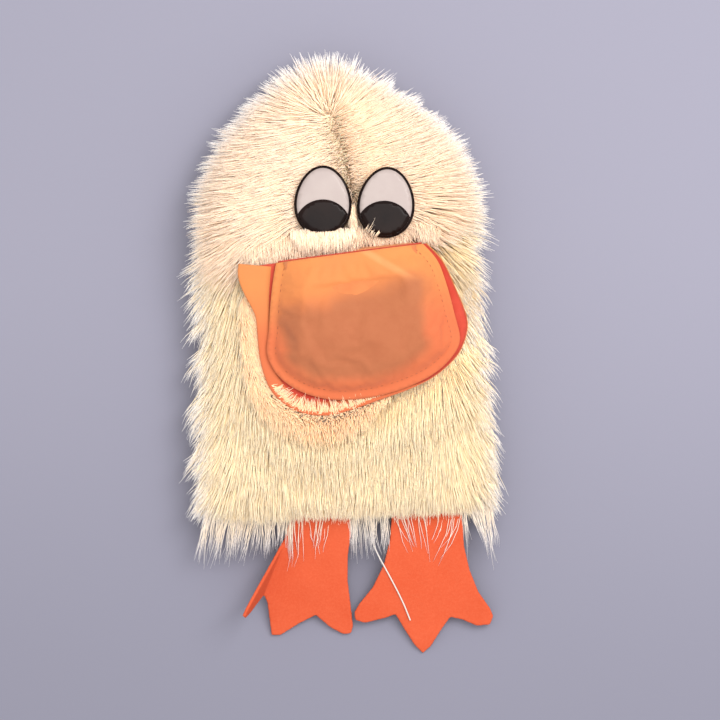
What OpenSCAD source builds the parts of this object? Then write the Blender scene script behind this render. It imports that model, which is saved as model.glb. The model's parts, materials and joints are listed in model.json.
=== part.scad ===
// Hand puppet with a moving mouth: a furry duck, lying on its back with its bill folded down on its chest.
// X is across the puppet, +Y points to the top of the head and +Z is up, away from the surface it lies on.

/* [Sleeve] */
// Thickness of the back fur panel, its pile pressed down under it
back_t = 9; // [6:0.5:12]
// Height of the hand space between the back and the front
hand_h = 10; // [9:0.5:14]
// Width of the rolled side, between the hand space and the outer edge of the fur
side_w = 12; // [10:0.5:16]
// Thickness of the chest fur
chest_t = 10.6; // [8:0.2:14]
// Thickness of the forehead fur
forehead_t = 16.6; // [15:0.2:17]
// Thickness of the wadding sheet inside the head
wadding_t = 3.4; // [2:0.2:4]

/* [Bill] */
// How far the bill is turned on the chest, in degrees
bill_turn = 7.5; // [0:0.5:10]
// Where the middle of the bill's root lies
bill_root = [1.5, 52.5]; // [-5:0.5:60]
// Thickness of the bill's cloth
cloth_t = 0.8; // [0.6:0.1:1]
// Thickness of the mouth boards
board_t = 1.2; // [0.8:0.1:1.6]
// Height of the thumb pocket
thumb_h = 6.1; // [6:0.1:7]
// Height of the finger pocket
finger_h = 7; // [6:0.1:8]
// Width of the thumb pocket
thumb_w = 34; // [30:1:40]
// Width of the finger pocket
finger_w = 66; // [56:1:68]
// Clearance between the two halves of the mouth
mouth_gap = 0.4; // [0.3:0.1:0.6]

/* [Eyes] */
// Width of an eye
eye_w = 28.5; // [24:0.5:30]
// Height of an eye
eye_h = 35.5; // [30:0.5:36]
// Width of the black rim
eye_rim = 1.35; // [1:0.05:2]
// Thickness of each layer of an eye
eye_t = 0.5; // [0.4:0.1:0.7]
// Radius of the pupil
pupil_r = 14.3; // [12:0.1:15]

/* [Feet] */
// Thickness of the felt
felt_t = 1.6; // [1.2:0.1:2]
// How steeply the outer toe of the left foot is bent up, in degrees
toe_bend = 72; // [45:1:80]

/* [Hidden] */

// Colours
cream = [0.99, 0.93, 0.84];
yellow = [0.99, 0.89, 0.7];
orange = [0.99, 0.6, 0.34];
felt_orange = [0.95, 0.39, 0.22];
red = [0.9, 0.26, 0.18];
card = [0.62, 0.48, 0.4];
off_white = [0.9, 0.85, 0.82];
pupil_black = [0.1, 0.07, 0.06];
thread_white = [0.95, 0.9, 0.85];
thread_orange = [0.85, 0.42, 0.22];

// Levels above the surface
thread_t = 0.4;
side_top = back_t + hand_h;
front_z = side_top + thread_t;
chest_top = front_z + chest_t;
head_top = front_z + forehead_t;
lower_z = chest_top + 1;
lower_pocket_z = lower_z + cloth_t;
lower_board_z = lower_pocket_z + thumb_h;
lower_lining_z = lower_board_z + board_t;
lining_t = 0.6;
lower_top = lower_lining_z + lining_t;
upper_z = lower_top + mouth_gap;
upper_board_z = upper_z + lining_t;
upper_pocket_z = upper_board_z + board_t;
upper_cover_z = upper_pocket_z + finger_h;
upper_top = upper_cover_z + cloth_t;

// Clearances and small sizes
seam_gap = 0.3;
pocket_wall = 0.7;
stitch_r = 0.3;
topstitch_in = 4.2;
topstitch_w = 0.5;
topstitch_t = 0.25;
far = 200;

// The body's outer edge, from the left end of the hem over the head to its right end
body_edge = [
  [-78, -79.5], [-79, -45], [-79, -8], [-79, 28], [-77.5, 60], [-73.5, 88], [-63, 112], [-48, 130],
  [-30, 143], [-10, 149.5], [10, 143.5], [29, 133], [46, 118], [61, 98], [67, 72], [68, 44], [71, 14],
  [75.5, -16], [79, -45], [77.5, -74.5],
];

// The forehead's edge, from lower left over the crown to lower right
head_edge = [
  [-60, 30], [-61, 80], [-57, 100], [-52, 116], [-44, 170], [30, 170], [38, 116], [46, 100], [49.5, 80],
  [47, 30],
];

// The forehead's middle seam, from the crown to the bill
seam_line = [[-12, 165], [-11, 148], [-4.5, 122], [2, 84], [4, 40]];
seam_stitches = 12;
seam_stitch_w = 3;

// The bill's edges in its own frame, whose x axis is the root, from the right end round the tip to the left end
upper_edge = [
  [36.5, 0], [42.5, -9], [45.5, -21], [47.5, -36], [48.5, -50], [42, -59], [32, -65.5], [20, -69.5],
  [7, -71.8], [-6, -72.3], [-20, -70.5], [-33, -65], [-43, -56], [-47.3, -44.5], [-45, -33], [-42.5, -20],
  [-39.5, -8], [-37, 0],
];
lower_edge = [
  [38, 0], [45, -10], [49.5, -24], [53, -38], [52, -47], [46, -57], [34, -65.5], [20, -70.5], [6, -73.5],
  [-8, -76.5], [-22, -78], [-36, -74], [-46.5, -64], [-50.5, -50], [-50.5, -33], [-49, -15], [-46, 0],
];
lower_board_in = 4;
upper_board_in = 6;
thumb_l = 46;
finger_l = 58;
slot_w = 84;
slot_low = -20;
slot_high = 5;

// Eye places and turns
eye_left = [-12, 78.7, 0];
eye_right = [19.5, 78, -4];
pupil_drop = 13.6;
egg_taper = 0.12;

// Feet: hinge places, how far in front of the hinge the longest toe ends, and outlines in the felt's own plane
foot_z = front_z - felt_t / 2;
left_hinge = [-13, -79.4];
right_hinge = [40, -77.6];
left_reach = 62.1;
right_reach = 71.9;
tab_l = 13;
tab_gap = 1.2;
root_gap = 0.4;
left_root = [-15, 15];
right_root = [-17.5, 18];
left_foot_edge = [
  [-15, 0], [-17, -5], [-19, -13], [-29.5, -41], [-27.5, -46], [-26.5, -55], [-25.5, -63.5], [-21, -63.5],
  [-12, -57.5], [-3, -52.6], [4, -59], [11, -63], [15, -62.5], [16, -58.5], [15, -49], [13.3, -34],
  [13.5, -20], [15, -9], [15, 0],
];
left_fold = [[-19, -13], [-29.5, -41]];
left_toe = [
  [-0.6, 0.6], [6, -3], [14, -9], [24, -17], [33, -23], [37, -23.5], [38.5, -20.5], [37, -14], [33.5, -7],
  [30.2, 0.6],
];
right_foot_edge = [
  [-17.5, 0], [-18.5, -14], [-21.5, -27], [-27, -39], [-34, -48], [-36.4, -52.5], [-36, -56.5],
  [-31, -58], [-22, -55.8], [-15.5, -53.5], [-11.5, -60.5], [-6, -69.5], [-1.5, -74.2], [2.5, -70.5],
  [8.5, -60.5], [12.5, -54.8], [19, -56.5], [25.5, -59.5], [32.5, -59], [34.2, -54.5], [32.5, -50.3],
  [26.5, -41.5], [22, -30], [19, -17], [18, 0],
];

// The loose thread's route, from the hem between the feet to its end on the right foot
thread_d = 0.7;
thread_route = [
  [10.8, -80.4, 18.4], [11.4, -85, 17.2], [12.2, -90, 15.8], [13.9, -95, 14.6], [16.2, -100, 13.7],
  [18.9, -105, 13.1], [21.6, -110, 12], [24.2, -115, 10.8], [26.7, -120, 9.6], [29, -125, 8.4],
  [31, -130, 7.2], [32, -132.5, 6.6],
];

// Shapes

function unit(v) = v / norm(v);

// Catmull-Rom curve point between b and c
function curve_point(a, b, c, d, t) =
  0.5 * (2 * b + (c - a) * t + (2 * a - 5 * b + 4 * c - d) * t * t + (3 * b - a - 3 * c + d) * t * t * t);

// A smooth open curve through the points
function smooth(points, steps = 3) =
  let (last = len(points) - 1)
  [
    for (i = [0 : last - 1], s = [0 : steps - 1])
      curve_point(points[max(i - 1, 0)], points[i], points[i + 1], points[min(i + 2, last)], s / steps),
    points[last],
  ];

// The direction of a curve at one of its points
function heading(curve, i) = unit(curve[min(i + 1, len(curve) - 1)] - curve[max(i - 1, 0)]);

// The curve moved sideways, to the right of its own direction
function moved_in(curve, d) = [
  for (i = [0 : len(curve) - 1])
    let (h = heading(curve, i))
    curve[i] + d * [h.y, -h.x]
];

function reversed(list) = [for (i = [len(list) - 1 : -1 : 0]) list[i]];

// The point a share t of the way down a line of points
function along(line, t) =
  let (n = len(line) - 1, i = min(floor(t * n), n - 1))
  line[i] + (line[i + 1] - line[i]) * (t * n - i);

// An egg, narrower at the top
function egg(w, h) = [
  for (a = [0 : 7.5 : 352.5]) [w / 2 * cos(a) * (1 - egg_taper * sin(a)), h / 2 * sin(a)]
];

// Rings of a tube that follows a route
function tube_points(route, d, sides) = [
  for (i = [0 : len(route) - 1])
    let (
      ahead = unit(route[min(i + 1, len(route) - 1)] - route[max(i - 1, 0)]),
      across = unit(cross(ahead, [0, 0, 1])),
      over = cross(across, ahead)
    )
    for (k = [0 : sides - 1])
      route[i] + d / 2 * (across * cos(k * 360 / sides) + over * sin(k * 360 / sides))
];

function tube_faces(rings, sides) = [
  [for (k = [0 : sides - 1]) k],
  [for (k = [sides - 1 : -1 : 0]) (rings - 1) * sides + k],
  for (i = [0 : rings - 2], k = [0 : sides - 1])
    let (n = (k + 1) % sides)
    [i * sides + n, i * sides + k, (i + 1) * sides + k, (i + 1) * sides + n],
];

body_curve = smooth(body_edge);
head_curve = smooth(head_edge);
upper_curve = smooth(upper_edge);
lower_curve = smooth(lower_edge);

module slab(outline, z, t) {
  translate([0, 0, z])
    linear_extrude(height = t)
      polygon(outline);
}

// The closed outline of a curve moved in, run on past the open end it is cut off at
module open_ended_slab(curve, d, z, t, past) {
  edge = moved_in(curve, d);
  run_on = [[edge[len(edge) - 1].x, past], [edge[0].x, past]];
  slab(concat(edge, run_on), z, t);
}

// A narrow strip along a curve, between two distances in from it
module strip(curve, d, w, z, t) {
  slab(concat(moved_in(curve, d), reversed(moved_in(curve, d + w))), z, t);
}

// One stitch: a short round thread lying flat
module stitch(at, angle, l) {
  translate(at)
    rotate([0, 0, angle])
      rotate([0, 90, 0])
        cylinder(h = l, r = stitch_r, center = true, $fn = 16);
}

// Puts its children in the bill's frame
module on_bill() {
  translate([bill_root.x, bill_root.y, 0])
    rotate([0, 0, bill_turn])
      children();
}

module below_forehead() {
  on_bill()
    translate([-far, -far, 0])
      cube([2 * far, far + slot_high, far]);
}

// Sleeve

module back_panel() {
  color(yellow)
    difference() {
      slab(body_curve, 0, side_top);
      open_ended_slab(body_curve, side_w, back_t, far, -far);
    }
}

module side_seam_thread() {
  color(thread_white)
    strip(body_curve, side_w / 2, 1, side_top, thread_t);
}

module chest_panel() {
  color(yellow)
    difference() {
      slab(body_curve, front_z, chest_t);
      difference() {
        slab(head_curve, 0, far);
        below_forehead();
      }
      on_bill()
        translate([-slot_w / 2, slot_low, 0])
          cube([slot_w, slot_high - slot_low + 1, far]);
    }
}

// The forehead on one side of the middle seam, side = -1 for the left half
module head_panel(side) {
  half = concat(
    [for (p = seam_line) p + [side * seam_gap / 2, 0]],
    [[side * far, seam_line[len(seam_line) - 1].y], [side * far, seam_line[0].y]]
  );
  color(cream)
    difference() {
      intersection() {
        slab(body_curve, front_z, forehead_t);
        slab(moved_in(head_curve, seam_gap), 0, far);
        slab(half, 0, far);
      }
      below_forehead();
    }
}

module head_wadding() {
  wadding_low = 66;
  color(off_white)
    difference() {
      slab(moved_in(body_curve, side_w + 2), front_z - wadding_t, wadding_t);
      translate([-far, wadding_low - 2 * far, 0])
        cube(2 * far);
    }
}

module centre_seam_thread() {
  seam_start = 0.51;
  seam_share = 0.14;
  color(thread_white)
    for (i = [0 : seam_stitches - 1]) {
      at = along(seam_line, seam_start + seam_share * i / (seam_stitches - 1));
      stitch([at.x, at.y, head_top + stitch_r], 0, seam_stitch_w);
    }
}

module hem_stitches(z) {
  hem_in = 9;
  end_in = 18;
  pitch = 8.5;
  stitch_l = 5;
  left = body_edge[0];
  right = body_edge[len(body_edge) - 1];
  hem = right - left;
  color(thread_white)
    for (s = [end_in : pitch : norm(hem) - end_in]) {
      at = left + unit(hem) * s;
      stitch([at.x, at.y + hem_in, z], atan2(hem.y, hem.x), stitch_l);
    }
}

module hem_thread_front() {
  hem_stitches(chest_top + stitch_r);
}

module hem_thread_back() {
  hem_stitches(back_t + stitch_r);
}

// Eyes

module eye_layer(eye, layer, inset) {
  translate([eye.x, eye.y, head_top + layer * eye_t])
    rotate([0, 0, eye[2]])
      linear_extrude(height = eye_t)
        polygon(egg(eye_w - 2 * inset, eye_h - 2 * inset));
}

module eye_rim(eye) {
  color(pupil_black)
    eye_layer(eye, 0, 0);
}

module eye_white(eye) {
  color(off_white)
    eye_layer(eye, 1, eye_rim);
}

module eye_pupil(eye) {
  color(pupil_black)
    intersection() {
      eye_layer(eye, 2, eye_rim);
      translate([eye.x, eye.y, 0])
        rotate([0, 0, eye[2]])
          translate([0, -pupil_drop, 0])
            cylinder(h = far, r = pupil_r, $fn = 64);
    }
}

module eye_rim_left() {
  eye_rim(eye_left);
}

module eye_white_left() {
  eye_white(eye_left);
}

module eye_pupil_left() {
  eye_pupil(eye_left);
}

module eye_rim_right() {
  eye_rim(eye_right);
}

module eye_white_right() {
  eye_white(eye_right);
}

module eye_pupil_right() {
  eye_pupil(eye_right);
}

// Bill: each half is a cloth cover, open at its root, round a pocket sewn to a mouth board

module pocket(w, l, z, h, tint) {
  color(tint)
    on_bill()
      difference() {
        translate([-w / 2, -l, z])
          cube([w, l, h]);
        translate([-w / 2 + pocket_wall, -l + pocket_wall, z + pocket_wall])
          cube([w - 2 * pocket_wall, l, h - 2 * pocket_wall]);
      }
}

module lower_bill_cover() {
  color(orange)
    on_bill()
      difference() {
        slab(lower_curve, lower_z, lower_lining_z - lower_z);
        open_ended_slab(lower_curve, cloth_t, lower_z + cloth_t, far, far);
      }
}

module thumb_pocket() {
  pocket(thumb_w, thumb_l, lower_pocket_z, thumb_h, orange);
}

module lower_mouth_board() {
  color(card)
    on_bill()
      slab(moved_in(lower_curve, lower_board_in), lower_board_z, board_t);
}

module lower_mouth_lining() {
  color(red)
    on_bill()
      slab(lower_curve, lower_lining_z, lining_t);
}

module lower_bill_topstitch() {
  color(thread_orange)
    on_bill()
      strip(lower_curve, topstitch_in, topstitch_w, lower_z - topstitch_t, topstitch_t);
}

module upper_mouth_lining() {
  color(red)
    on_bill()
      slab(upper_curve, upper_z, lining_t);
}

module upper_mouth_board() {
  color(card)
    on_bill()
      slab(moved_in(upper_curve, upper_board_in), upper_board_z, board_t);
}

module finger_pocket() {
  pocket(finger_w, finger_l, upper_pocket_z, finger_h, orange);
}

module upper_bill_cover() {
  color(orange)
    on_bill()
      difference() {
        slab(upper_curve, upper_board_z, upper_top - upper_board_z);
        open_ended_slab(upper_curve, cloth_t, 0, upper_cover_z, far);
      }
}

module upper_bill_topstitch() {
  color(thread_orange)
    on_bill()
      strip(upper_curve, topstitch_in, topstitch_w, upper_top, topstitch_t);
}

// Feet: each is a felt plate that slopes from the hem down to its toes on the surface

function foot_slope(reach) = atan(foot_z / reach) - asin(felt_t / 2 / norm([foot_z, reach]));

module on_foot(hinge, reach) {
  translate([hinge.x, hinge.y, foot_z])
    rotate([foot_slope(reach), 0, 0])
      children();
}

module foot_tab(hinge, root) {
  color(felt_orange)
    translate([hinge.x + root[0], hinge.y + tab_gap, foot_z - felt_t / 2])
      cube([root[1] - root[0], tab_l, felt_t]);
}

module felt_plate(outline) {
  difference() {
    slab(outline, -felt_t / 2, felt_t);
    translate([-far, -root_gap, -far])
      cube(2 * far);
  }
}

module foot_tab_left() {
  foot_tab(left_hinge, left_root);
}

module foot_tab_right() {
  foot_tab(right_hinge, right_root);
}

module foot_left() {
  fold = left_fold[1] - left_fold[0];
  color(felt_orange)
    on_foot(left_hinge, left_reach) {
      felt_plate(left_foot_edge);
      translate([left_fold[0].x, left_fold[0].y, 0])
        rotate([0, 0, atan2(fold.y, fold.x)])
          rotate([-toe_bend, 0, 0])
            slab(left_toe, -felt_t / 2, felt_t);
    }
}

module foot_right() {
  color(felt_orange)
    on_foot(right_hinge, right_reach)
      felt_plate(right_foot_edge);
}

module loose_thread() {
  sides = 8;
  route = smooth(thread_route, 2);
  color(thread_white)
    polyhedron(points = tube_points(route, thread_d, sides), faces = tube_faces(len(route), sides));
}

back_panel();
chest_panel();
head_panel(-1);  // head_panel_left
head_panel(1);  // head_panel_right
head_wadding();
centre_seam_thread();
side_seam_thread();
hem_thread_front();
hem_thread_back();
eye_rim_left();
eye_white_left();
eye_pupil_left();
eye_rim_right();
eye_white_right();
eye_pupil_right();
foot_tab_left();
foot_tab_right();
lower_bill_cover();
thumb_pocket();
lower_mouth_board();
lower_mouth_lining();
lower_bill_topstitch();
upper_mouth_lining();
upper_mouth_board();
finger_pocket();
upper_bill_cover();
upper_bill_topstitch();
foot_left();
foot_right();
loose_thread();
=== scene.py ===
"""Looks of a shaggy duck hand puppet with a moving mouth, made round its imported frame.

The puppet lies on its back: X is across it, +Y points to the top of its head and +Z is up.
"""

import json
import math

import bmesh
import bpy
import numpy as np
from mathutils import Matrix, Vector, geometry


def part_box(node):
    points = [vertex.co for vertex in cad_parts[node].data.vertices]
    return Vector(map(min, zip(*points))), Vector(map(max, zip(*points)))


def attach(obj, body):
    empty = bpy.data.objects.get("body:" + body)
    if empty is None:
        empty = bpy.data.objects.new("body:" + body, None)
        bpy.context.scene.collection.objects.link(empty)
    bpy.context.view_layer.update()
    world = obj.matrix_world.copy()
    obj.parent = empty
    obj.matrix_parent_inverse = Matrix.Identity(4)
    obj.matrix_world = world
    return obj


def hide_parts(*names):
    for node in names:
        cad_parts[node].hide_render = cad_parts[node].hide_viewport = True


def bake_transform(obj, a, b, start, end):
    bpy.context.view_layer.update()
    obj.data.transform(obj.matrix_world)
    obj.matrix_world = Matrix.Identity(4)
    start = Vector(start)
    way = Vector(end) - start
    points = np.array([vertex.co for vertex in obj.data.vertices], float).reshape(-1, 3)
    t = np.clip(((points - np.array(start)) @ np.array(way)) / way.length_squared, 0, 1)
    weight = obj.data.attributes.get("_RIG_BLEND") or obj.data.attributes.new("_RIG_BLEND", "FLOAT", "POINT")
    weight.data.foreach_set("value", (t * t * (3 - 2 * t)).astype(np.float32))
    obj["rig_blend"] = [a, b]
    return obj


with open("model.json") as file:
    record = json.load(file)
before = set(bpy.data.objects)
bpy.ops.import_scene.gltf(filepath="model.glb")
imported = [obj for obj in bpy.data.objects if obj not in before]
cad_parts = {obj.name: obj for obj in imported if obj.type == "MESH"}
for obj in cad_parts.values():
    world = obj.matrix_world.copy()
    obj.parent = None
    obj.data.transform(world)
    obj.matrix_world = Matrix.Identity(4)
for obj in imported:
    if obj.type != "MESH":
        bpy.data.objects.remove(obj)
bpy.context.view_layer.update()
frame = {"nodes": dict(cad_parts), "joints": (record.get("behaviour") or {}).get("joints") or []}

MM = 0.001
UP = Vector((0, 0, 1))
DOWN = Vector((0, 0, -1))

# ---------------------------------------------------------------- camera, light and floor

CAMERA_AT = (6.5 * MM, -0.5 * MM, 1.63)
LENS = 160
FLOOR_SIZE = 6.0


def new_object(name, data):
    """A new object in the scene, with that data."""
    made = bpy.data.objects.new(name, data)
    bpy.context.scene.collection.objects.link(made)
    return made


def make_camera():
    data = bpy.data.cameras.new("overhead")
    data.lens = LENS
    data.clip_end = 20
    camera = new_object("overhead", data)
    camera.location = CAMERA_AT
    bpy.context.scene.camera = camera


def soft_light(name, at, size, power, tint):
    """A square area light that points at the middle of the puppet."""
    data = bpy.data.lights.new(name, "AREA")
    data.size = size
    data.energy = power
    data.color = tint
    lamp = new_object(name, data)
    lamp.location = at
    lamp.rotation_euler = (-Vector(at)).to_track_quat("-Z", "Y").to_euler()


def light_studio():
    world = bpy.data.worlds.new("studio")
    world.use_nodes = True
    sky = world.node_tree.nodes["Background"].inputs
    sky["Color"].default_value = (1.0, 0.985, 0.97, 1)
    sky["Strength"].default_value = 1.18
    bpy.context.scene.world = world
    soft_light("overhead_softbox", at=(0.1, 0.2, 1.45), size=0.9, power=9.8, tint=(1, 0.99, 0.97))
    soft_light("key_softbox", at=(0.45, 0.36, 0.85), size=0.5, power=6.8, tint=(1, 0.985, 0.97))
    bpy.context.scene.view_settings.view_transform = "Standard"


# ---------------------------------------------------------------- node trees


class Net:
    """Adds nodes to a tree and links them."""

    def __init__(self, tree):
        self.tree = tree

    def add(self, kind, inputs=None, **settings):
        node = self.tree.nodes.new(kind)
        for name, value in settings.items():
            setattr(node, name, value)
        for name, value in (inputs or {}).items():
            if isinstance(value, bpy.types.NodeSocket):
                self.tree.links.new(value, node.inputs[name])
            else:
                node.inputs[name].default_value = value
        return node

    def link(self, output, socket):
        self.tree.links.new(output, socket)

    def calc(self, operation, a, b=0.0):
        return self.add("ShaderNodeMath", {0: a, 1: b}, operation=operation).outputs[0]

    def plus(self, a, b):
        return self.calc("ADD", a, b)

    def minus(self, a, b):
        return self.calc("SUBTRACT", a, b)

    def times(self, *values):
        """The product of two values or more, taken from the left."""
        product = values[0]
        for value in values[1:]:
            product = self.calc("MULTIPLY", product, value)
        return product

    def vector(self, operation, a, b=(0, 0, 0)):
        return self.add("ShaderNodeVectorMath", {0: a, 1: b}, operation=operation).outputs[0]

    def scaled(self, a, factor):
        return self.add("ShaderNodeVectorMath", {0: a, "Scale": factor}, operation="SCALE").outputs[0]


def new_tree(name, floats, others):
    """A geometry tree from Geometry to Geometry, with named float inputs and inputs of other kinds."""
    tree = bpy.data.node_groups.new(name, "GeometryNodeTree")
    kinds = {"Geometry": "Geometry", **dict.fromkeys(floats, "Float"), **others}
    for label, kind in kinds.items():
        tree.interface.new_socket(label, in_out="INPUT", socket_type="NodeSocket" + kind)
    tree.interface.new_socket("Geometry", in_out="OUTPUT", socket_type="NodeSocketGeometry")
    return tree


def end_tree(net, shape, finish):
    """Every tree ends in real geometry with its material."""
    whole = net.add("GeometryNodeRealizeInstances", {"Geometry": shape})
    painted = net.add("GeometryNodeSetMaterial", {"Geometry": whole.outputs[0], "Material": finish})
    out = net.add("NodeGroupOutput")
    net.link(painted.outputs[0], out.inputs[0])


def grown(name, base, tree, values):
    """The plain mesh that a tree makes on a base object, which is used up."""
    modifier = base.modifiers.new(tree.name, "NODES")
    modifier.node_group = tree
    for item in tree.interface.items_tree:
        if item.in_out == "INPUT" and item.name in values:
            modifier[item.identifier] = values[item.name]
    return plain_copy(name, base)


KEPT_FIELDS = ("tip", "shade", "tuft", "sharp_face", "material_index")


def plain_copy(name, base):
    """A plain mesh object of what base looks like with its modifiers; base is removed."""
    bpy.context.view_layer.update()
    evaluated = base.evaluated_get(bpy.context.evaluated_depsgraph_get())
    mesh = bpy.data.meshes.new_from_object(evaluated)
    mesh.transform(base.matrix_world)
    mesh.name = name
    extra = [a.name for a in mesh.attributes if not (a.is_internal or a.is_required)]
    for label in extra:
        if label not in KEPT_FIELDS:
            mesh.attributes.remove(mesh.attributes[label])
    piece = new_object(name, mesh)
    bpy.data.objects.remove(base)
    return piece


def pile_tree():
    """Long pile: strands in clumps, each following the cloth's comb, tapering to its tip."""
    tree = new_tree("Shaggy pile", ("Density", "Length", "Width", "Spread", "Gather", "Clump share"),
                    {"Seed": "Int", "Material": "Material"})
    net = Net(tree)
    given = net.add("NodeGroupInput").outputs
    at = net.add("GeometryNodeInputPosition").outputs[0]
    seed = given["Seed"]

    def stored(shape, name, value, kind="FLOAT_VECTOR"):
        node = net.add("GeometryNodeStoreNamedAttribute", {"Geometry": shape, "Name": name}, data_type=kind)
        net.link(value, node.inputs["Value"])
        return node.outputs[0]

    def read(name, kind="FLOAT"):
        return net.add("GeometryNodeInputNamedAttribute", {"Name": name}, data_type=kind).outputs[0]

    def chance(low, high, kind="FLOAT", number=None, offset=0):
        node = net.add("FunctionNodeRandomValue", data_type=kind)
        live = [s for s in node.inputs if s.enabled]
        live[0].default_value = low
        live[1].default_value = high
        if number is not None:
            net.link(number, node.inputs["ID"])
        net.link(net.plus(seed, float(offset)), node.inputs["Seed"])
        return next(s for s in node.outputs if s.enabled)

    strands = net.add("GeometryNodeDistributePointsOnFaces", {
        "Mesh": given["Geometry"], "Density": given["Density"], "Seed": seed})
    clumps = net.add("GeometryNodeDistributePointsOnFaces", {
        "Mesh": given["Geometry"], "Density": net.times(given["Density"], given["Clump share"]),
        "Seed": net.plus(seed, 50.0)}).outputs[0]
    nearest = net.add("GeometryNodeSampleNearest", {"Geometry": clumps}).outputs[0]
    clump_at = net.add("GeometryNodeSampleIndex", {"Geometry": clumps, "Index": nearest},
                       data_type="FLOAT_VECTOR")
    net.link(at, clump_at.inputs["Value"])

    sway = net.vector(
        "ADD",
        net.scaled(chance((-1, -1, -0.35), (1, 1, 0.35), "FLOAT_VECTOR", nearest, 1), read("tuft")),
        net.scaled(chance((-1, -1, -0.5), (1, 1, 0.5), "FLOAT_VECTOR", None, 2), 0.55),
    )
    clump_shade = net.times(chance(0.0, 1.0, "FLOAT", nearest, 3), 0.55)
    shade = net.plus(clump_shade, net.times(chance(0.0, 1.0, "FLOAT", None, 4), 0.45))
    points = stored(strands.outputs["Points"], "root", at)
    points = stored(points, "up", strands.outputs["Normal"])
    points = stored(points, "pull", net.vector("SUBTRACT", clump_at.outputs[0], at))
    points = stored(points, "sway", net.scaled(sway, given["Spread"]))
    points = stored(points, "long", chance(0.72, 1.12, "FLOAT", None, 5), "FLOAT")
    points = stored(points, "shade", shade, "FLOAT")

    line = net.add("GeometryNodeCurvePrimitiveLine", {"End": (0, 0, 1)}).outputs[0]
    line = net.add("GeometryNodeResampleCurve", {"Curve": line, "Count": 5}).outputs[0]
    placed = net.add("GeometryNodeInstanceOnPoints", {"Points": points, "Instance": line}).outputs[0]
    curves = net.add("GeometryNodeRealizeInstances", {"Geometry": placed}).outputs[0]
    curves = stored(curves, "tip", net.add("GeometryNodeSplineParameter").outputs["Factor"], "FLOAT")

    tip = read("tip")
    tip_squared = net.times(tip, tip)
    reach = net.times(given["Length"], read("pile"), read("long"))
    way = net.vector("ADD", read("comb", "FLOAT_VECTOR"), read("sway", "FLOAT_VECTOR"))
    forward = net.scaled(way, net.times(reach, tip))
    arch = net.times(tip, net.minus(1.7, tip))
    rise = net.scaled(read("up", "FLOAT_VECTOR"), net.times(reach, read("lift"), arch))
    gather = net.times(given["Gather"], read("tuft"))
    pull = net.scaled(read("pull", "FLOAT_VECTOR"), net.times(tip_squared, gather))
    place = net.vector("ADD", read("root", "FLOAT_VECTOR"), forward)
    waviness = net.add("ShaderNodeTexNoise", {"Vector": place, "Scale": 110.0, "Detail": 1.0})
    waviness = net.vector("SUBTRACT", waviness.outputs["Color"], (0.5, 0.5, 0.5))
    wave = net.scaled(waviness, net.times(reach, tip, 0.16))
    for part in (rise, pull, wave):
        place = net.vector("ADD", place, part)
    above_floor = net.vector("MAXIMUM", place, (-9, -9, 0.4 * MM))
    curves = net.add("GeometryNodeSetPosition", {"Geometry": curves, "Position": above_floor}).outputs[0]

    taper = net.minus(1.0, net.times(tip_squared, 0.78))
    ring = net.add("GeometryNodeCurvePrimitiveCircle", {"Resolution": 3, "Radius": 0.5}).outputs[0]
    hair = net.add("GeometryNodeCurveToMesh", {
        "Curve": curves, "Profile Curve": ring, "Scale": net.times(given["Width"], taper), "Fill Caps": True,
    }).outputs[0]
    end_tree(net, hair, given["Material"])
    return tree


def stitch_tree():
    """A row of stitches along a line: short round threads with sunk ends."""
    tree = new_tree("Row of stitches", ("Pitch", "Stitch length", "Thread", "Turn"), {"Material": "Material"})
    net = Net(tree)
    given = net.add("NodeGroupInput").outputs
    line = net.add("GeometryNodeMeshToCurve", {"Mesh": given["Geometry"]}).outputs[0]
    points = net.add("GeometryNodeCurveToPoints", {"Curve": line, "Length": given["Pitch"]}, mode="LENGTH")
    half = net.times(given["Stitch length"], 0.5)
    start = net.add("ShaderNodeCombineXYZ", {"X": net.times(half, -1.0)}).outputs[0]
    end = net.add("ShaderNodeCombineXYZ", {"X": half}).outputs[0]
    bar = net.add("GeometryNodeCurvePrimitiveLine", {"Start": start, "End": end}).outputs[0]
    bar = net.add("GeometryNodeResampleCurve", {"Curve": bar, "Count": 5}).outputs[0]
    share = net.add("GeometryNodeSplineParameter").outputs["Factor"]
    centred = net.minus(net.times(share, 2.0), 1.0)
    squared = net.times(centred, centred)
    sunk = net.times(squared, given["Thread"], -0.8)
    bar = net.add("GeometryNodeSetPosition", {
        "Geometry": bar, "Offset": net.add("ShaderNodeCombineXYZ", {"Z": sunk}).outputs[0]}).outputs[0]
    ring = net.add("GeometryNodeCurvePrimitiveCircle", {"Resolution": 6, "Radius": 0.5}).outputs[0]
    thread = net.add("GeometryNodeCurveToMesh", {
        "Curve": bar, "Profile Curve": ring, "Fill Caps": True,
        "Scale": net.times(given["Thread"], net.minus(1.0, net.times(squared, 0.5))),
    }).outputs[0]
    tangent = net.add("ShaderNodeSeparateXYZ", {0: points.outputs["Tangent"]}).outputs
    angle = net.plus(net.calc("ARCTAN2", tangent[1], tangent[0]), given["Turn"])
    placed = net.add("GeometryNodeInstanceOnPoints", {
        "Points": points.outputs["Points"], "Instance": thread,
        "Rotation": net.add("ShaderNodeCombineXYZ", {"Z": angle}).outputs[0]}).outputs[0]
    end_tree(net, placed, given["Material"])
    return tree


# ---------------------------------------------------------------- materials


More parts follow.
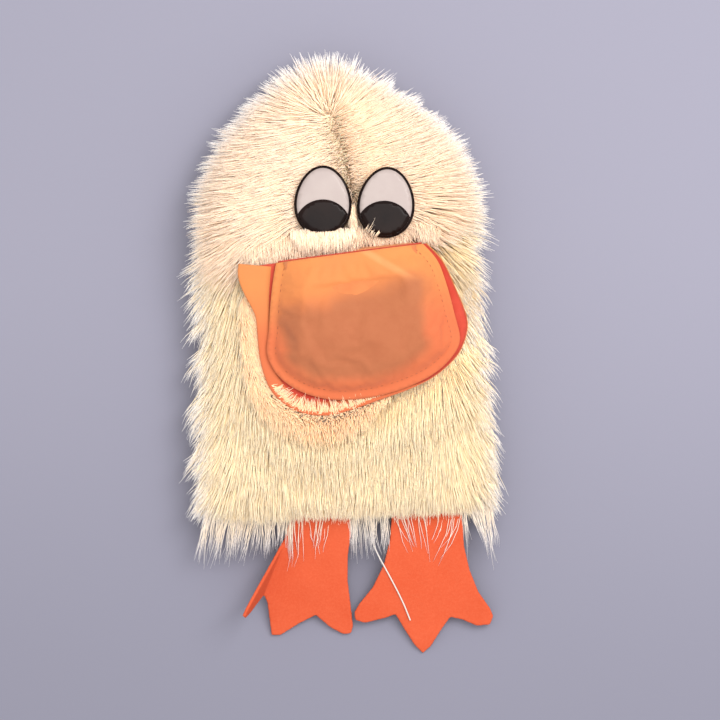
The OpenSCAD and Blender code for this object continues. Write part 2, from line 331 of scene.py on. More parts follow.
class Finish(Net):
    """A principled material in the making. Fixed values go on the shader's own sockets."""

    def __init__(self, name, roughness, **fixed):
        self.made = bpy.data.materials.new(name)
        self.made.use_nodes = True
        super().__init__(self.made.node_tree)
        self.shader = self.tree.nodes["Principled BSDF"]
        self.shader.inputs["Roughness"].default_value = roughness
        for label, value in fixed.items():
            self.shader.inputs[label.replace("_", " ")].default_value = value
        self.here = self.add("ShaderNodeTexCoord").outputs["Object"]

    def colour(self, value):
        self.link(value, self.shader.inputs["Base Color"])

    def mixed(self, share, a, b):
        """Colour a where share is 0 and b where it is 1."""
        node = self.add("ShaderNodeMix", data_type="RGBA")
        colour_inputs = [s for s in node.inputs if s.enabled]
        for socket, value in zip(colour_inputs, (share, a, b)):
            if isinstance(value, bpy.types.NodeSocket):
                self.link(value, socket)
            elif isinstance(value, tuple):
                socket.default_value = (*value, 1)
            else:
                socket.default_value = value
        return next(s for s in node.outputs if s.enabled)

    def stepped(self, value, low, high):
        """0 at low and 1 at high, smooth between and level beyond. High may be the smaller."""
        return self.add("ShaderNodeMapRange", {"Value": value, "From Min": low, "From Max": high},
                        interpolation_type="SMOOTHSTEP").outputs[0]

    def noise(self, scale, detail=3.0, rough=0.55):
        return self.add("ShaderNodeTexNoise", {
            "Vector": self.here, "Scale": scale, "Detail": detail, "Roughness": rough}).outputs[0]

    def wave(self, scale, distortion, direction):
        return self.add("ShaderNodeTexWave", {"Vector": self.here, "Scale": scale, "Distortion": distortion},
                        bands_direction=direction).outputs["Fac"]

    def woven(self, pitch):
        """Height of a plain weave with that thread pitch."""
        scale = 2 * math.pi / pitch / 20
        warp = self.wave(scale, 0.6, "X")
        weft = self.wave(scale, 0.6, "Y")
        return self.calc("MAXIMUM", warp, weft)

    def bumped(self, height, depth, strength=0.6):
        bump = self.add("ShaderNodeBump", {"Height": height, "Distance": depth, "Strength": strength})
        self.link(bump.outputs[0], self.shader.inputs["Normal"])

    def field(self, name):
        """A value that the pile's strands carry."""
        return self.add("ShaderNodeAttribute", attribute_name=name).outputs["Fac"]


def pile_material(name, root_colour, tip_colour, patch_colour, painted_edge_glow=(0.97, 0.92, 0.9)):
    """Soft acrylic pile, deeper coloured at the root and nearly white at the tips of the body's edge. The
    deeper root colour is partly the pile's own tone and partly painted glow of light deep in the pile; the
    white tips at the edge are painted light that shines through them.
    """
    net = Finish(name, roughness=0.62, Specular_IOR_Level=0.15, Sheen_Weight=0.55)
    tip, shade, tuft = net.field("tip"), net.field("shade"), net.field("tuft")
    patches = net.stepped(net.noise(26.0, detail=2.0), 0.4, 0.66)
    # the root colour is partly the pile's own tone and partly painted glow of light deep in the pile
    base = net.mixed(patches, root_colour, patch_colour)
    toned = net.mixed(net.times(shade, 0.3), base, tip_colour)
    # painted light: the tips turn nearly white where the pile gathers into tufts at the body's edge, as light
    # shines through them
    tip_with_painted_glow = net.mixed(net.stepped(tuft, 0.2, 0.9), tip_colour, painted_edge_glow)
    net.colour(net.mixed(net.stepped(tip, 0.35, 1.0), toned, tip_with_painted_glow))
    net.link(net.plus(0.52, net.times(shade, 0.2)), net.shader.inputs["Roughness"])
    return net.made


def knit_material():
    """The knitted backing that the pile grows from."""
    net = Finish("knit_backing", roughness=0.9, Specular_IOR_Level=0.1)
    across = net.wave(260.0, 1.2, "X")
    along = net.wave(200.0, 1.5, "Y")
    loops = net.times(across, along)
    dusty = net.stepped(net.noise(60.0), 0.3, 0.8)
    # painted shade: the yarn is darker between the loops, where the bump sinks
    net.colour(net.mixed(net.times(loops, 0.5), (0.8, 0.68, 0.46), (0.95, 0.86, 0.68)))
    net.bumped(net.plus(loops, net.times(dusty, 0.3)), 0.3 * MM)
    return net.made


def in_bill_frame(net):
    """The piece's coordinates turned into the bill's own frame, in metres, as X, Y, Z outputs."""
    moved = net.vector("SUBTRACT", net.here, (BILL_ROOT.x, BILL_ROOT.y, 0))
    turned = net.add("ShaderNodeMapping", {"Vector": moved, "Rotation": (0, 0, -BILL_TURN)},
                     vector_type="POINT")
    return net.add("ShaderNodeSeparateXYZ", {0: turned.outputs[0]}).outputs


def bill_material(name, board_shows):
    """Thin orange cloth. Over the board its colour is browner, because the board shows through."""
    net = Finish(name, roughness=0.7, Specular_IOR_Level=0.2, Sheen_Weight=0.15)
    x, y, _ = in_bill_frame(net)
    cloudy = net.noise(34.0)
    toward_root = net.stepped(net.plus(y, net.times(cloudy, 20 * MM)), -34 * MM, 4 * MM)
    rim_colour = net.mixed(toward_root, (0.48, 0.11, 0.04), (0.53, 0.187, 0.052))
    colour = net.mixed(net.times(net.stepped(cloudy, 0.35, 0.7), 0.35), rim_colour, (0.52, 0.14, 0.05))
    if board_shows:
        # where the board shows: between its sides, from below the root down to the curve of the tip
        wobble = net.times(net.minus(net.noise(42.0), 0.5), 16 * MM)
        slant = net.times(x, -0.1)
        across = net.calc("ABSOLUTE", net.plus(x, 3 * MM))
        side = net.stepped(net.plus(across, wobble), 41 * MM, 30 * MM)
        top = net.stepped(net.plus(net.plus(y, slant), wobble), -13 * MM, -26 * MM)
        curve = net.times(x, x, 8.5)
        low = net.stepped(net.minus(net.plus(y, wobble), curve), -68 * MM, -58 * MM)
        board = net.times(side, top, low)
        fibres = net.times(net.stepped(net.noise(170.0, detail=4.0, rough=0.7), 0.35, 0.75), 0.35)
        card = net.mixed(fibres, (0.308, 0.1, 0.041), (0.255, 0.071, 0.027))
        colour = net.mixed(net.times(board, 0.88), colour, card)
        # a painted highlight: a pale line along a crease that runs aslant near the root
        fold = net.plus(net.times(x, 0.8), y)
        near_fold = net.stepped(net.calc("ABSOLUTE", net.minus(fold, 6 * MM)), 3.5 * MM, 0.5 * MM)
        painted_crease_highlight = net.times(near_fold, net.stepped(y, -19 * MM, -10 * MM))
        colour = net.mixed(net.times(painted_crease_highlight, 0.5), colour, (0.6, 0.275, 0.108))
    net.colour(colour)
    weave = net.woven(0.55 * MM)
    slack = net.noise(90.0)
    net.bumped(net.plus(net.times(weave, 0.2), slack), 0.5 * MM, strength=0.5)
    return net.made


def plain_cloth_material(name, colour, other):
    """Plain weave in one colour that wanders a little towards another."""
    net = Finish(name, roughness=0.72, Specular_IOR_Level=0.2, Sheen_Weight=0.15)
    net.colour(net.mixed(net.stepped(net.noise(55.0), 0.35, 0.7), colour, other))
    net.bumped(net.plus(net.woven(0.6 * MM), net.noise(120.0)), 0.3 * MM, strength=0.5)
    return net.made


def felt_material():
    """Orange felt with fine fibres and cloudy tone."""
    net = Finish("orange_felt", roughness=0.9, Specular_IOR_Level=0.12)
    cloudy = net.stepped(net.noise(38.0), 0.3, 0.72)
    specks = net.stepped(net.noise(900.0, rough=0.7), 0.35, 0.72)
    base = net.mixed(cloudy, (0.492, 0.069, 0.025), (0.525, 0.082, 0.032))
    net.colour(net.mixed(net.times(specks, 0.25), base, (0.6, 0.133, 0.062)))
    fibres = net.add("ShaderNodeTexNoise", {
        "Vector": net.here, "Scale": 1400.0, "Detail": 2.0, "Distortion": 2.0}).outputs[0]
    net.bumped(net.plus(fibres, net.times(cloudy, 0.6)), 0.25 * MM, strength=0.7)
    return net.made


def plastic_material(name, colour, other, coat):
    """Glossy printed film of an eye."""
    net = Finish(name, roughness=0.22, Specular_IOR_Level=0.06, Coat_Weight=coat, Coat_Roughness=0.06)
    net.colour(net.mixed(net.stepped(net.noise(70.0), 0.3, 0.75), colour, other))
    worn = net.noise(240.0, detail=4.0, rough=0.6)
    net.link(net.plus(0.16, net.times(worn, 0.16)), net.shader.inputs["Roughness"])
    net.bumped(net.noise(45.0, detail=1.0), 0.25 * MM, strength=0.35)
    return net.made


def thread_material(name, colour, other):
    """Sewing thread with the slant of its ply."""
    net = Finish(name, roughness=0.75, Specular_IOR_Level=0.2, Sheen_Weight=0.2)
    ply = net.wave(520.0, 1.0, "DIAGONAL")
    # painted shade: the thread is darker in the grooves between its plies
    net.colour(net.mixed(net.times(ply, 0.6), colour, other))
    net.bumped(ply, 0.15 * MM, strength=0.7)
    return net.made


def card_material():
    """Pulp board with dark specks."""
    net = Finish("grey_brown_card", roughness=0.85, Specular_IOR_Level=0.15)
    pulp = net.noise(420.0, detail=5.0, rough=0.75)
    spots = net.add("ShaderNodeTexVoronoi", {"Vector": net.here, "Scale": 300.0}).outputs["Distance"]
    tone = net.mixed(net.stepped(pulp, 0.3, 0.75), (0.26, 0.17, 0.11), (0.42, 0.31, 0.22))
    net.colour(net.mixed(net.stepped(spots, 0.12, 0.04), tone, (0.14, 0.1, 0.08)))
    net.bumped(pulp, 0.2 * MM)
    return net.made


def wadding_material():
    net = Finish("white_wadding", roughness=0.95, Specular_IOR_Level=0.05, Sheen_Weight=0.3)
    fluff = net.noise(160.0, detail=5.0, rough=0.7)
    net.colour(net.mixed(net.stepped(fluff, 0.3, 0.75), (0.72, 0.7, 0.66), (0.93, 0.92, 0.9)))
    net.bumped(fluff, 0.8 * MM, strength=0.8)
    return net.made


def floor_material():
    """Matt paper, with painted shade: a little darker towards the puppet's feet, where less light falls."""
    net = Finish("lilac_grey_paper", roughness=0.85, Specular_IOR_Level=0.1)
    grain = net.noise(900.0, detail=2.0)
    speckled = net.mixed(net.times(grain, 0.06), (0.224, 0.22, 0.276), (0.204, 0.2, 0.25))
    painted_shade_toward_foot = net.stepped(net.add("ShaderNodeSeparateXYZ", {0: net.here}).outputs["Y"], 0.08, -0.2)
    # painted shade: the paper darkens towards the feet, as the light falls off there
    net.colour(net.mixed(painted_shade_toward_foot, speckled, (0.182, 0.18, 0.228)))
    return net.made


# ---------------------------------------------------------------- outlines

SHARP_TURN = math.radians(40)
BATCH = 2000  # points measured at a time


def outline(node, up=UP):
    """Corner points of the flat face of a CAD node that looks along up, anticlockwise from above."""
    shape = bmesh.new()
    shape.from_mesh(frame["nodes"][node].data)
    bmesh.ops.remove_doubles(shape, verts=shape.verts, dist=0.001 * MM)
    shape.normal_update()
    facing = [f for f in shape.faces if f.normal.dot(up) > 0.99]
    level = max(f.calc_center_median().dot(up) for f in facing)
    flat = {f for f in facing if level - f.calc_center_median().dot(up) < 0.05 * MM}
    rim = [e for e in shape.edges if len([f for f in e.link_faces if f in flat]) == 1]
    following = {}
    for edge in rim:
        face = next(f for f in edge.link_faces if f in flat)
        loop = next(l for l in face.loops if l.edge == edge)
        following[loop.vert.index] = loop.link_loop_next.vert
    loops = []
    while following:
        start = next(iter(following))
        ring = []
        at = start
        while at in following:
            vert = following.pop(at)
            ring.append((vert.co.x, vert.co.y))
            at = vert.index
        loops.append(ring)
    longest = np.array(max(loops, key=len))
    shape.free()
    return longest if flat_area(longest) > 0 else longest[::-1]


def flat_area(loop):
    ahead = np.roll(loop, -1, axis=0)
    return 0.5 * float(np.sum(loop[:, 0] * ahead[:, 1] - ahead[:, 0] * loop[:, 1]))


def unit_rows(vectors):
    size = np.linalg.norm(vectors, axis=1, keepdims=True)
    return vectors / np.maximum(size, 1e-9)


def rounded(points, step, closed=True):
    """The line with points about a step apart: smooth curves between its sharp corners."""
    n = len(points)
    edges = unit_rows(np.roll(points, -1, axis=0) - points)

    def heading(point, edge):
        """The line's heading at a point: that of the given edge where the line ends or turns sharply."""
        before, after = edges[point - 1], edges[point]
        at_end = not closed and point in (0, n - 1)
        if at_end or np.dot(before, after) < math.cos(SHARP_TURN):
            return edges[edge]
        return unit_rows((before + after)[None])[0]

    made = []
    for i in range(n if closed else n - 1):
        j = (i + 1) % n
        a, b = points[i], points[j]
        length = float(np.linalg.norm(b - a))
        start = heading(i, i) * length
        end = heading(j, i) * length
        count = max(1, round(length / step))
        for k in range(count):
            t = k / count
            made.append(
                (2 * t**3 - 3 * t**2 + 1) * a + (t**3 - 2 * t**2 + t) * start
                + (3 * t**2 - 2 * t**3) * b + (t**3 - t**2) * end
            )
    if not closed:
        made.append(points[-1])
    return np.array(made)


def nearest_on(points, line, closed=True):
    """How far each point is from a line, and the way there from the nearest spot on it."""
    a = line if closed else line[:-1]
    b = np.roll(line, -1, axis=0) if closed else line[1:]
    ahead = b - a
    size = np.maximum((ahead * ahead).sum(1), 1e-18)
    far = np.empty(len(points))
    away = np.empty((len(points), 2))
    for s in range(0, len(points), BATCH):
        rel = points[s:s + BATCH, None, :] - a[None]
        t = np.clip((rel * ahead).sum(2) / size, 0, 1)
        off = rel - t[..., None] * ahead
        gap = np.sqrt((off * off).sum(2))
        best = gap.argmin(1)
        rows = np.arange(len(best))
        far[s:s + BATCH] = gap[rows, best]
        away[s:s + BATCH] = off[rows, best]
    return far, away


def inside(points, loop):
    """Whether each point is inside a closed loop."""
    x, y = points[:, 0], points[:, 1]
    odd = np.zeros(len(points), bool)
    for (ax, ay), (bx, by) in zip(loop, np.roll(loop, -1, axis=0)):
        if ay == by:
            continue
        crosses = (ay > y) != (by > y)
        odd ^= crosses & (x < (bx - ax) * (y - ay) / (by - ay) + ax)
    return odd


def depth_in(points, loop):
    """Distance in from a closed loop: negative outside it."""
    far = nearest_on(points, loop)[0]
    return np.where(inside(points, loop), far, -far)


def moved_in(line, gap, closed=True):
    """The line moved to its left, which is inwards for an anticlockwise loop."""
    if closed:
        ahead = np.roll(line, -1, axis=0) - np.roll(line, 1, axis=0)
    else:
        ahead = np.gradient(line, axis=0)
    ahead = unit_rows(ahead)
    return line + gap * np.stack([-ahead[:, 1], ahead[:, 0]], axis=1)


def smooth(values, low, high):
    """0 at low and 1 at high, smooth between and level beyond. High may be the smaller."""
    t = np.clip((values - low) / (high - low), 0, 1)
    return t * t * (3 - 2 * t)


def waves(points, size, seed=0.0):
    """Slow bumps from -1 to 1 over a surface. A larger size makes them wider."""
    x, y = points[:, 0] / size + seed, points[:, 1] / size - seed
    return (np.sin(2.1 * x + 1.3 * np.sin(1.7 * y)) + np.sin(2.7 * y + 1.1 * np.sin(2.3 * x + 0.7))) / 2


# ---------------------------------------------------------------- cloth and meshes


def cut_cloth(loop, spacing, lines=()):
    """Flat cloth inside a loop, with an even net of points. It can be split along the given lines."""
    low, high = loop.min(0), loop.max(0)
    rows = np.arange(low[1], high[1], spacing * 0.866)
    net = np.array([
        (x, y) for k, y in enumerate(rows)
        for x in np.arange(low[0] + (k % 2) * spacing / 2, high[0], spacing)
    ])
    net = net[depth_in(net, loop) > 0.62 * spacing]
    kept = [loop]
    for line in lines:
        line = line[depth_in(line, loop) > 0.4 * spacing]
        for other in kept[1:]:
            line = line[nearest_on(line, other, False)[0] > 0.45 * spacing] if len(line) else line
        if len(line) > 1:
            kept.append(line)
            net = net[nearest_on(net, line, False)[0] > 0.55 * spacing]
    points = np.vstack([*kept, net])
    ring = [list(range(len(loop)))]
    made = geometry.delaunay_2d_cdt([Vector(p) for p in points], [], ring, 1, 0.01 * MM)
    return np.array([tuple(v) for v in made[0]]), np.array([f[:3] for f in made[2]])


def new_piece(name, points, faces, material=None):
    mesh = bpy.data.meshes.new(name)
    mesh.from_pydata([tuple(p) for p in points], [], [list(map(int, f)) for f in faces])
    mesh.validate()
    mesh.shade_smooth()
    if material:
        mesh.materials.append(material)
    return new_object(name, mesh)


def turned_up(piece, up=1):
    """Turns the faces of an open sheet so that they look up, or down where up is -1."""
    mesh = piece.data
    if sum(p.normal.z * p.area for p in mesh.polygons) * up < 0:
        mesh.flip_normals()
    return piece


def thickened(piece, thickness, offset):
    """The sheet given a thickness: behind its faces where offset is -1, half on each side where it is 0."""
    name = piece.name
    piece.name = name + "_flat"
    solid = piece.modifiers.new("thickness", "SOLIDIFY")
    solid.thickness = thickness
    solid.offset = offset
    solid.use_even_offset = True
    return plain_copy(name, piece)


def heights(points, z):
    """Points in space from flat points and their heights, or one height for all."""
    return np.column_stack([points, np.broadcast_to(z, len(points))])


def band_faces(count):
    """Faces between two rows of that many points."""
    return [(i, i + count, i + count + 1, i + 1) for i in range(count - 1)]


def grid_faces(rows, count, closed=False):
    """Faces between rows of points, one row after the other. The ends of each row are joined where closed."""
    faces = []
    for row in range(0, (rows - 1) * count, count):
        for i in range(count if closed else count - 1):
            j = (i + 1) % count
            faces.append((row + i, row + j, row + count + j, row + count + i))
    return faces


def fitted(piece, slot, body, *nodes):
    """Hangs a piece on the body that it rides and hides the CAD nodes that it stands for; the slot is not
    used.
    """
    if body:
        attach(piece, body)
    if nodes:
        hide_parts(*nodes)


# ---------------------------------------------------------------- places that the frame gives

JOINTS = {j["name"]: j for j in frame["joints"]}
BILL_ROOT = Vector(JOINTS["mouth_opening"]["pos_m"])
BILL_X = -Vector(JOINTS["mouth_opening"]["axis"])
BILL_Y = UP.cross(BILL_X)
BILL_TURN = math.atan2(BILL_X.y, BILL_X.x)
LEFT_HINGE = Vector(JOINTS["foot_left_swing"]["pos_m"])
RIGHT_HINGE = Vector(JOINTS["foot_right_swing"]["pos_m"])


def on_bill(x, y, z):
    """The place in space of a place in the bill's own frame."""
    return Vector((BILL_ROOT.x, BILL_ROOT.y, 0)) + x * BILL_X + y * BILL_Y + z * UP


def bill_xy(points):
    """Places in the bill's own frame: across it, and up from its root line."""
    rel = points[:, :2] - np.array(BILL_ROOT[:2])
    return rel @ np.array(BILL_X[:2]), rel @ np.array(BILL_Y[:2])


BODY_EDGE = outline("back_panel", DOWN)
HEAD_LEFT = outline("head_panel_left")
HEAD_RIGHT = outline("head_panel_right")
CHEST = outline("chest_panel")
UPPER_BILL = rounded(outline("upper_mouth_lining"), 1.5 * MM)
LOWER_BILL = rounded(outline("lower_mouth_lining"), 1.5 * MM)
EYES = {side: rounded(outline("eye_rim_" + side), 1.5 * MM) for side in ("left", "right")}
FRONT_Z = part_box("chest_panel")[0].z
HEAD_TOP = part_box("head_panel_left")[1].z
LOWER_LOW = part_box("lower_bill_cover")[0].z
LOWER_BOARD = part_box("lower_mouth_board")
LOWER_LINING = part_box("lower_mouth_lining")
UPPER_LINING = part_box("upper_mouth_lining")
UPPER_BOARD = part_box("upper_mouth_board")
UPPER_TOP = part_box("upper_bill_cover")[1].z

# ---------------------------------------------------------------- fur skins

SKIN_T = 0.8 * MM
SKIN_IN = 8.5 * MM  # how far the skins' edge lies inside the outline of the pile
SEAM_Z = 14.5 * MM
CHEST_SKIN_Z = 22.5 * MM
HEAD_SKIN_Z = 29.8 * MM
HEM_SKIN_Z = 20.6 * MM
BACK_SKIN_Z = 5.6 * MM
PILE_LENGTH = 23 * MM
STRAND_W = 0.5 * MM
CHEST_DENSITY = 1.28  # strands per square millimetre, here and in the next two
HEAD_DENSITY = 1.5
BACK_DENSITY = 0.62
FRONT_LIFT = 0.34
BACK_LIFT = 0.16
SIDE_BAND = 26 * MM  # how far in from the side seam the pile turns outwards
PARTING = np.array([[-9.0, 122.0], [2.0, 84.0]]) * MM  # the line that the forehead's pile is combed away from
PARTING_W = 9 * MM
FACE_LOW = 34 * MM  # below it the pile lies down the body, and above FACE_HIGH it lies away from the parting
FACE_HIGH = 76 * MM
CROWN_Y = 112 * MM
LEFT_SIDE_X = -46 * MM
RIGHT_SIDE_X = 44 * MM
BACK_SPLIT_Y = 40 * MM


def side_line():
    """Corner points of the body's edge from the right end of the hem over the head to its left end."""
    start = int(np.argmin(BODY_EDGE[:, 1] - BODY_EDGE[:, 0]))
    ring = np.roll(BODY_EDGE, -start, axis=0)
    stop = int(np.argmin(ring[:, 0] + ring[:, 1]))
    return ring[:stop + 1]


SIDE_LINE = side_line()
RIGHT_HEM = SIDE_LINE[0]
LEFT_HEM = SIDE_LINE[-1]
SKIN_SIDES = moved_in(rounded(SIDE_LINE, 4 * MM, closed=False), SKIN_IN, closed=False)
HEM = rounded(np.array([SKIN_SIDES[-1], SKIN_SIDES[0]]), 4 * MM, closed=False)
SKIN_EDGE = np.vstack([SKIN_SIDES, HEM[1:-1]])


def head_depth(points):
    return np.maximum(depth_in(points, HEAD_LEFT), depth_in(points, HEAD_RIGHT))


def hem_distance(points):
    return nearest_on(points, np.array([LEFT_HEM, RIGHT_HEM]), False)[0]


def rolled_side(points, reach=15 * MM):
    """0 at the side seam and 1 where the roll of the side ends."""
    return np.sin(np.clip(nearest_on(points, SKIN_SIDES, False)[0] / reach, 0, 1) * math.pi / 2)


def front_z(points):
    """Height of the front skin: rolled at the sides, raised over the forehead, low at the hem."""
    forehead = smooth(head_depth(points), -3 * MM, 12 * MM)
    near_hem = smooth(hem_distance(points), 22 * MM, 2 * MM)
    level = CHEST_SKIN_Z + (HEAD_SKIN_Z - CHEST_SKIN_Z) * forehead
    level = level - (CHEST_SKIN_Z - HEM_SKIN_Z) * near_hem
    level = level + 0.6 * MM * waves(points, 24 * MM) * rolled_side(points, 30 * MM)
    return SEAM_Z + (level - SEAM_Z) * rolled_side(points)


def back_z(points):
    """Height of the back skin: flat on the ground and rolled up at the sides."""
    return SEAM_Z - (SEAM_Z - BACK_SKIN_Z) * rolled_side(points, 18 * MM)


def comb_of(points, back=False):
    """Which way the pile lies: away from the parting on the head, down on the body, outwards at the sides."""
    out = unit_rows(nearest_on(points, PARTING, False)[1])
    to_side, away = nearest_on(points, SKIN_SIDES, False)
    outwards = unit_rows(-away)
    on_head = smooth(points[:, 1], FACE_LOW, FACE_HIGH)[:, None]
    at_side = smooth(to_side, SIDE_BAND, 2 * MM)[:, None]
    down = np.array([0.0, -1.0])
    way = out * on_head + down * (1 - on_head) + outwards * (0.55 * at_side)
    at_parting = smooth(nearest_on(points, PARTING, False)[0], PARTING_W, 0)[:, None]
    way = unit_rows(way) * (0.9 + 0.04 * at_side - 0.5 * at_parting)
    fall = -0.18 * at_side[:, 0] if not back else 0.05 * at_side[:, 0]
    return np.column_stack([way, fall])


def over_root(points):
    """1 in the narrow band of forehead above the bill's root, where the pile is trimmed short."""
    x, y = bill_xy(points)
    above_root = smooth(y, 2 * MM, 4.5 * MM)
    below_eyes = smooth(y, 12 * MM, 7 * MM)
    across_bill = smooth(np.abs(x), 54 * MM, 48 * MM)
    return below_eyes * above_root * across_bill


def edge_trim(points):
    """Share of its length that the pile loses near the body's edge, most round the crown."""
    to_side = nearest_on(points, SKIN_SIDES, False)[0]
    most = 0.26 + 0.22 * smooth(points[:, 1], 20 * MM, 90 * MM)
    return most * smooth(to_side, 20 * MM, 0)


def hem_trim(points, past_hem, shortest):
    """Share of its length at which the pile ends that far past the hem."""
    return np.clip((hem_distance(points) + past_hem) / PILE_LENGTH, shortest, 1)


def pile_of(points):
    """Share of the pile's full length: short under the eyes and the bill, trimmed towards the hem."""
    share = np.ones(len(points))
    for eye in EYES.values():
        share *= 1 - 0.5 * smooth(depth_in(points, eye), -2 * MM, 1.5 * MM)
    under_bill = smooth(depth_in(points, LOWER_BILL), 0, 8 * MM)
    share *= 1 - 0.6 * over_root(points)
    share = share * (1 - 0.25 * under_bill) * (1 - edge_trim(points))
    return np.minimum(share, hem_trim(points, 3.5 * MM, 0.24))


def lift_of(points):
    """How far a strand rises from the skin, as a share of its length: most round the bill."""
    lift = FRONT_LIFT + 0.03 * waves(points, 13 * MM, 3.0)
    into_bill = depth_in(points, LOWER_BILL)
    pressed_down = smooth(into_bill, -4 * MM, 6 * MM)
    round_bill = smooth(into_bill, -22 * MM, -6 * MM) * smooth(into_bill, 3 * MM, -3 * MM)
    at_parting = smooth(nearest_on(points, PARTING, False)[0], PARTING_W, 0)
    lift -= 0.12 * pressed_down
    lift += 0.26 * round_bill
    lift += 0.12 * at_parting
    for eye in EYES.values():
        lift += 0.18 * smooth(depth_in(points, eye), -2 * MM, 2 * MM)
    return lift


def tuft_of(points):
    """How strongly the strands gather into tufts: loosely on top, strongly at the sides and the crown."""
    return 0.18 + 0.82 * smooth(nearest_on(points, SKIN_SIDES, False)[0], 14 * MM, 2 * MM)


def pile_base(name, points, faces, comb, pile, lift, tuft=None):
    """A piece of skin with what the pile needs to know at each of its points."""
    base = new_piece(name, points, faces)
    tuft = tuft_of(points[:, :2]) if tuft is None else tuft
    for label, values in (("comb", comb), ("pile", pile), ("lift", lift), ("tuft", tuft)):
        kind, key = ("FLOAT_VECTOR", "vector") if label == "comb" else ("FLOAT", "value")
        field = base.data.attributes.new(label, kind, "POINT")
        field.data.foreach_set(key, np.asarray(values, np.float32).ravel())
    return base


def grow_pile(name, base, material, density, seed, body="root", slot="body_fur", length=PILE_LENGTH,
              width=STRAND_W, spread=0.21, gather=0.5, clump=0.07):
    """Pile on a base: density is strands per square millimetre."""
    pile = grown(name, base, PILE, {
        "Density": density * 1e6, "Length": length, "Width": width, "Spread": spread, "Gather": gather,
        "Clump share": clump, "Seed": seed, "Material": material,
    })
    pile.data.shade_smooth()
    fitted(pile, slot, body)
    return pile


def front_skins():
    """The chest and the two halves of the forehead, cut from one net so that their edges meet.

    The owner of a face is 0 for the chest, 1 and 2 for the forehead halves and -1 in the slot for the bill.
    """
    lines = [rounded(edge, 3 * MM) for edge in (HEAD_LEFT, HEAD_RIGHT, CHEST)]
    points, faces = cut_cloth(SKIN_EDGE, 3.2 * MM, lines)
    middle = points[faces].mean(1)
    depth = np.stack([depth_in(middle, edge) for edge in (CHEST, HEAD_LEFT, HEAD_RIGHT)])
    owner = depth.argmax(0)
    slot = depth.max(0) < -1.2 * MM
    in_hem_strip = depth_in(middle, BODY_EDGE) < SKIN_IN
    return points, faces, np.where(slot & ~in_hem_strip, -1, owner)


def skin_piece(name, points, faces, cad, slot, up=1):
    """The knitted skin itself: a thin sheet with its pile as pieces on it."""
    skin = turned_up(new_piece(name, points, faces, KNIT), up)
    drop_loose(skin)
    skin = thickened(skin, SKIN_T, -1)
    fitted(skin, slot, "root", cad)


def drop_loose(piece):
    """Deletes the points that belong to no face."""
    shape = bmesh.new()
    shape.from_mesh(piece.data)
    bmesh.ops.delete(shape, geom=[v for v in shape.verts if not v.link_faces], context="VERTS")
    shape.to_mesh(piece.data)
    shape.free()


def make_front():
    flat, faces, owner = front_skins()
    points = heights(flat, front_z(flat))
    comb, pile, lift = comb_of(flat), pile_of(flat), lift_of(flat)
    x, y = flat[faces].mean(1).T
    left, right = x < LEFT_SIDE_X, x > RIGHT_SIDE_X
    crown = y >= CROWN_Y
    parts = [
        ("chest_skin", "chest_panel", "body_fur", BODY_PILE, CHEST_DENSITY, {
            "pile_side_left": left,
            "pile_side_right": right,
            "pile_chest_left": ~left & (x < 0),
            "pile_chest_right": ~right & (x >= 0),
        }),
        ("head_skin_left", "head_panel_left", "head_fur", HEAD_PILE, HEAD_DENSITY, {
            "pile_forehead_left": ~crown,
            "pile_crown_left": crown,
        }),
        ("head_skin_right", "head_panel_right", "head_fur", HEAD_PILE, HEAD_DENSITY, {
            "pile_forehead_right": ~crown,
            "pile_crown_right": crown,
        }),
    ]
    seed = 10
    for number, (name, cad, slot, material, density, areas) in enumerate(parts):
        piles = []
        for label, chosen in areas.items():
            seed += 1
            base = pile_base(label + "_base", points, faces[(owner == number) & chosen], comb, pile, lift)
            turned_up(base)
            drop_loose(base)
            piles.append(grow_pile(label, base, material, density, seed, slot=slot))
        if name == "chest_skin":
            piles += make_hem_fringe()
        skin_piece(name, points, faces[owner == number], cad, slot)


def hem_strip(name, begin, end):
    """A narrow strip of skin along part of the hem, for strands that hang from it and spread sideways."""
    across = np.linspace(begin, end, max(4, round((end - begin) * 60)))
    hem = LEFT_HEM + np.outer(across, RIGHT_HEM - LEFT_HEM)
    upper = heights(hem + np.array([0, 4 * MM]), HEM_SKIN_Z + 0.5 * MM)
    lower = heights(hem + np.array([0, 1 * MM]), HEM_SKIN_Z - 1.5 * MM)
    n = len(hem)
    combs = np.column_stack([0.25 * (across - 0.5) * 2, np.full(n, -0.93), np.full(n, -0.33)])
    share = 0.8 + 0.3 * (0.55 + 0.45 * np.sin(across * 61))
    return turned_up(pile_base(name, np.vstack([upper, lower]), band_faces(n), np.tile(combs, (2, 1)),
                               np.tile(share, 2), np.full(2 * n, 0.12), np.ones(2 * n)))


def make_hem_fringe():
    """Sparse long strands that hang out past the trimmed pile of the hem, fewest over the feet."""
    # where each stretch begins and ends, as shares of the hem, and its strands per square millimetre
    stretches = [
        (0.045, 0.33, 1.5), (0.33, 0.49, 0.3), (0.49, 0.64, 1.1), (0.64, 0.87, 0.22), (0.87, 0.965, 1.5),
    ]
    made = []
    for k, (begin, end, density) in enumerate(stretches):
        base = hem_strip(f"pile_hem_base_{k}", begin, end)
        made.append(grow_pile(f"pile_hem_{k + 1}", base, FRINGE_PILE, density, 91 + k, length=25 * MM,
                              width=0.4 * MM, spread=0.16, gather=0.75, clump=0.1))
    return made


def straight_band(name, line, width, z, comb, lift):
    """A narrow level band of skin along a line, for a tuft of its own, which is shorter at its ends."""
    line = rounded(np.array(line, float) * MM, 3 * MM, closed=False)
    ahead = unit_rows(np.gradient(line, axis=0))
    across = np.stack([-ahead[:, 1], ahead[:, 0]], axis=1) * width * MM / 2
    n = len(line)
    points = np.vstack([heights(line + across, z * MM), heights(line - across, z * MM)])
    share = np.clip(2.5 * np.sin(np.linspace(0, math.pi, n)), 0.4, 1)
    return turned_up(pile_base(name, points, band_faces(n), np.tile(np.array(comb, float), (2 * n, 1)),
                               np.tile(share, 2), np.full(2 * n, lift)))


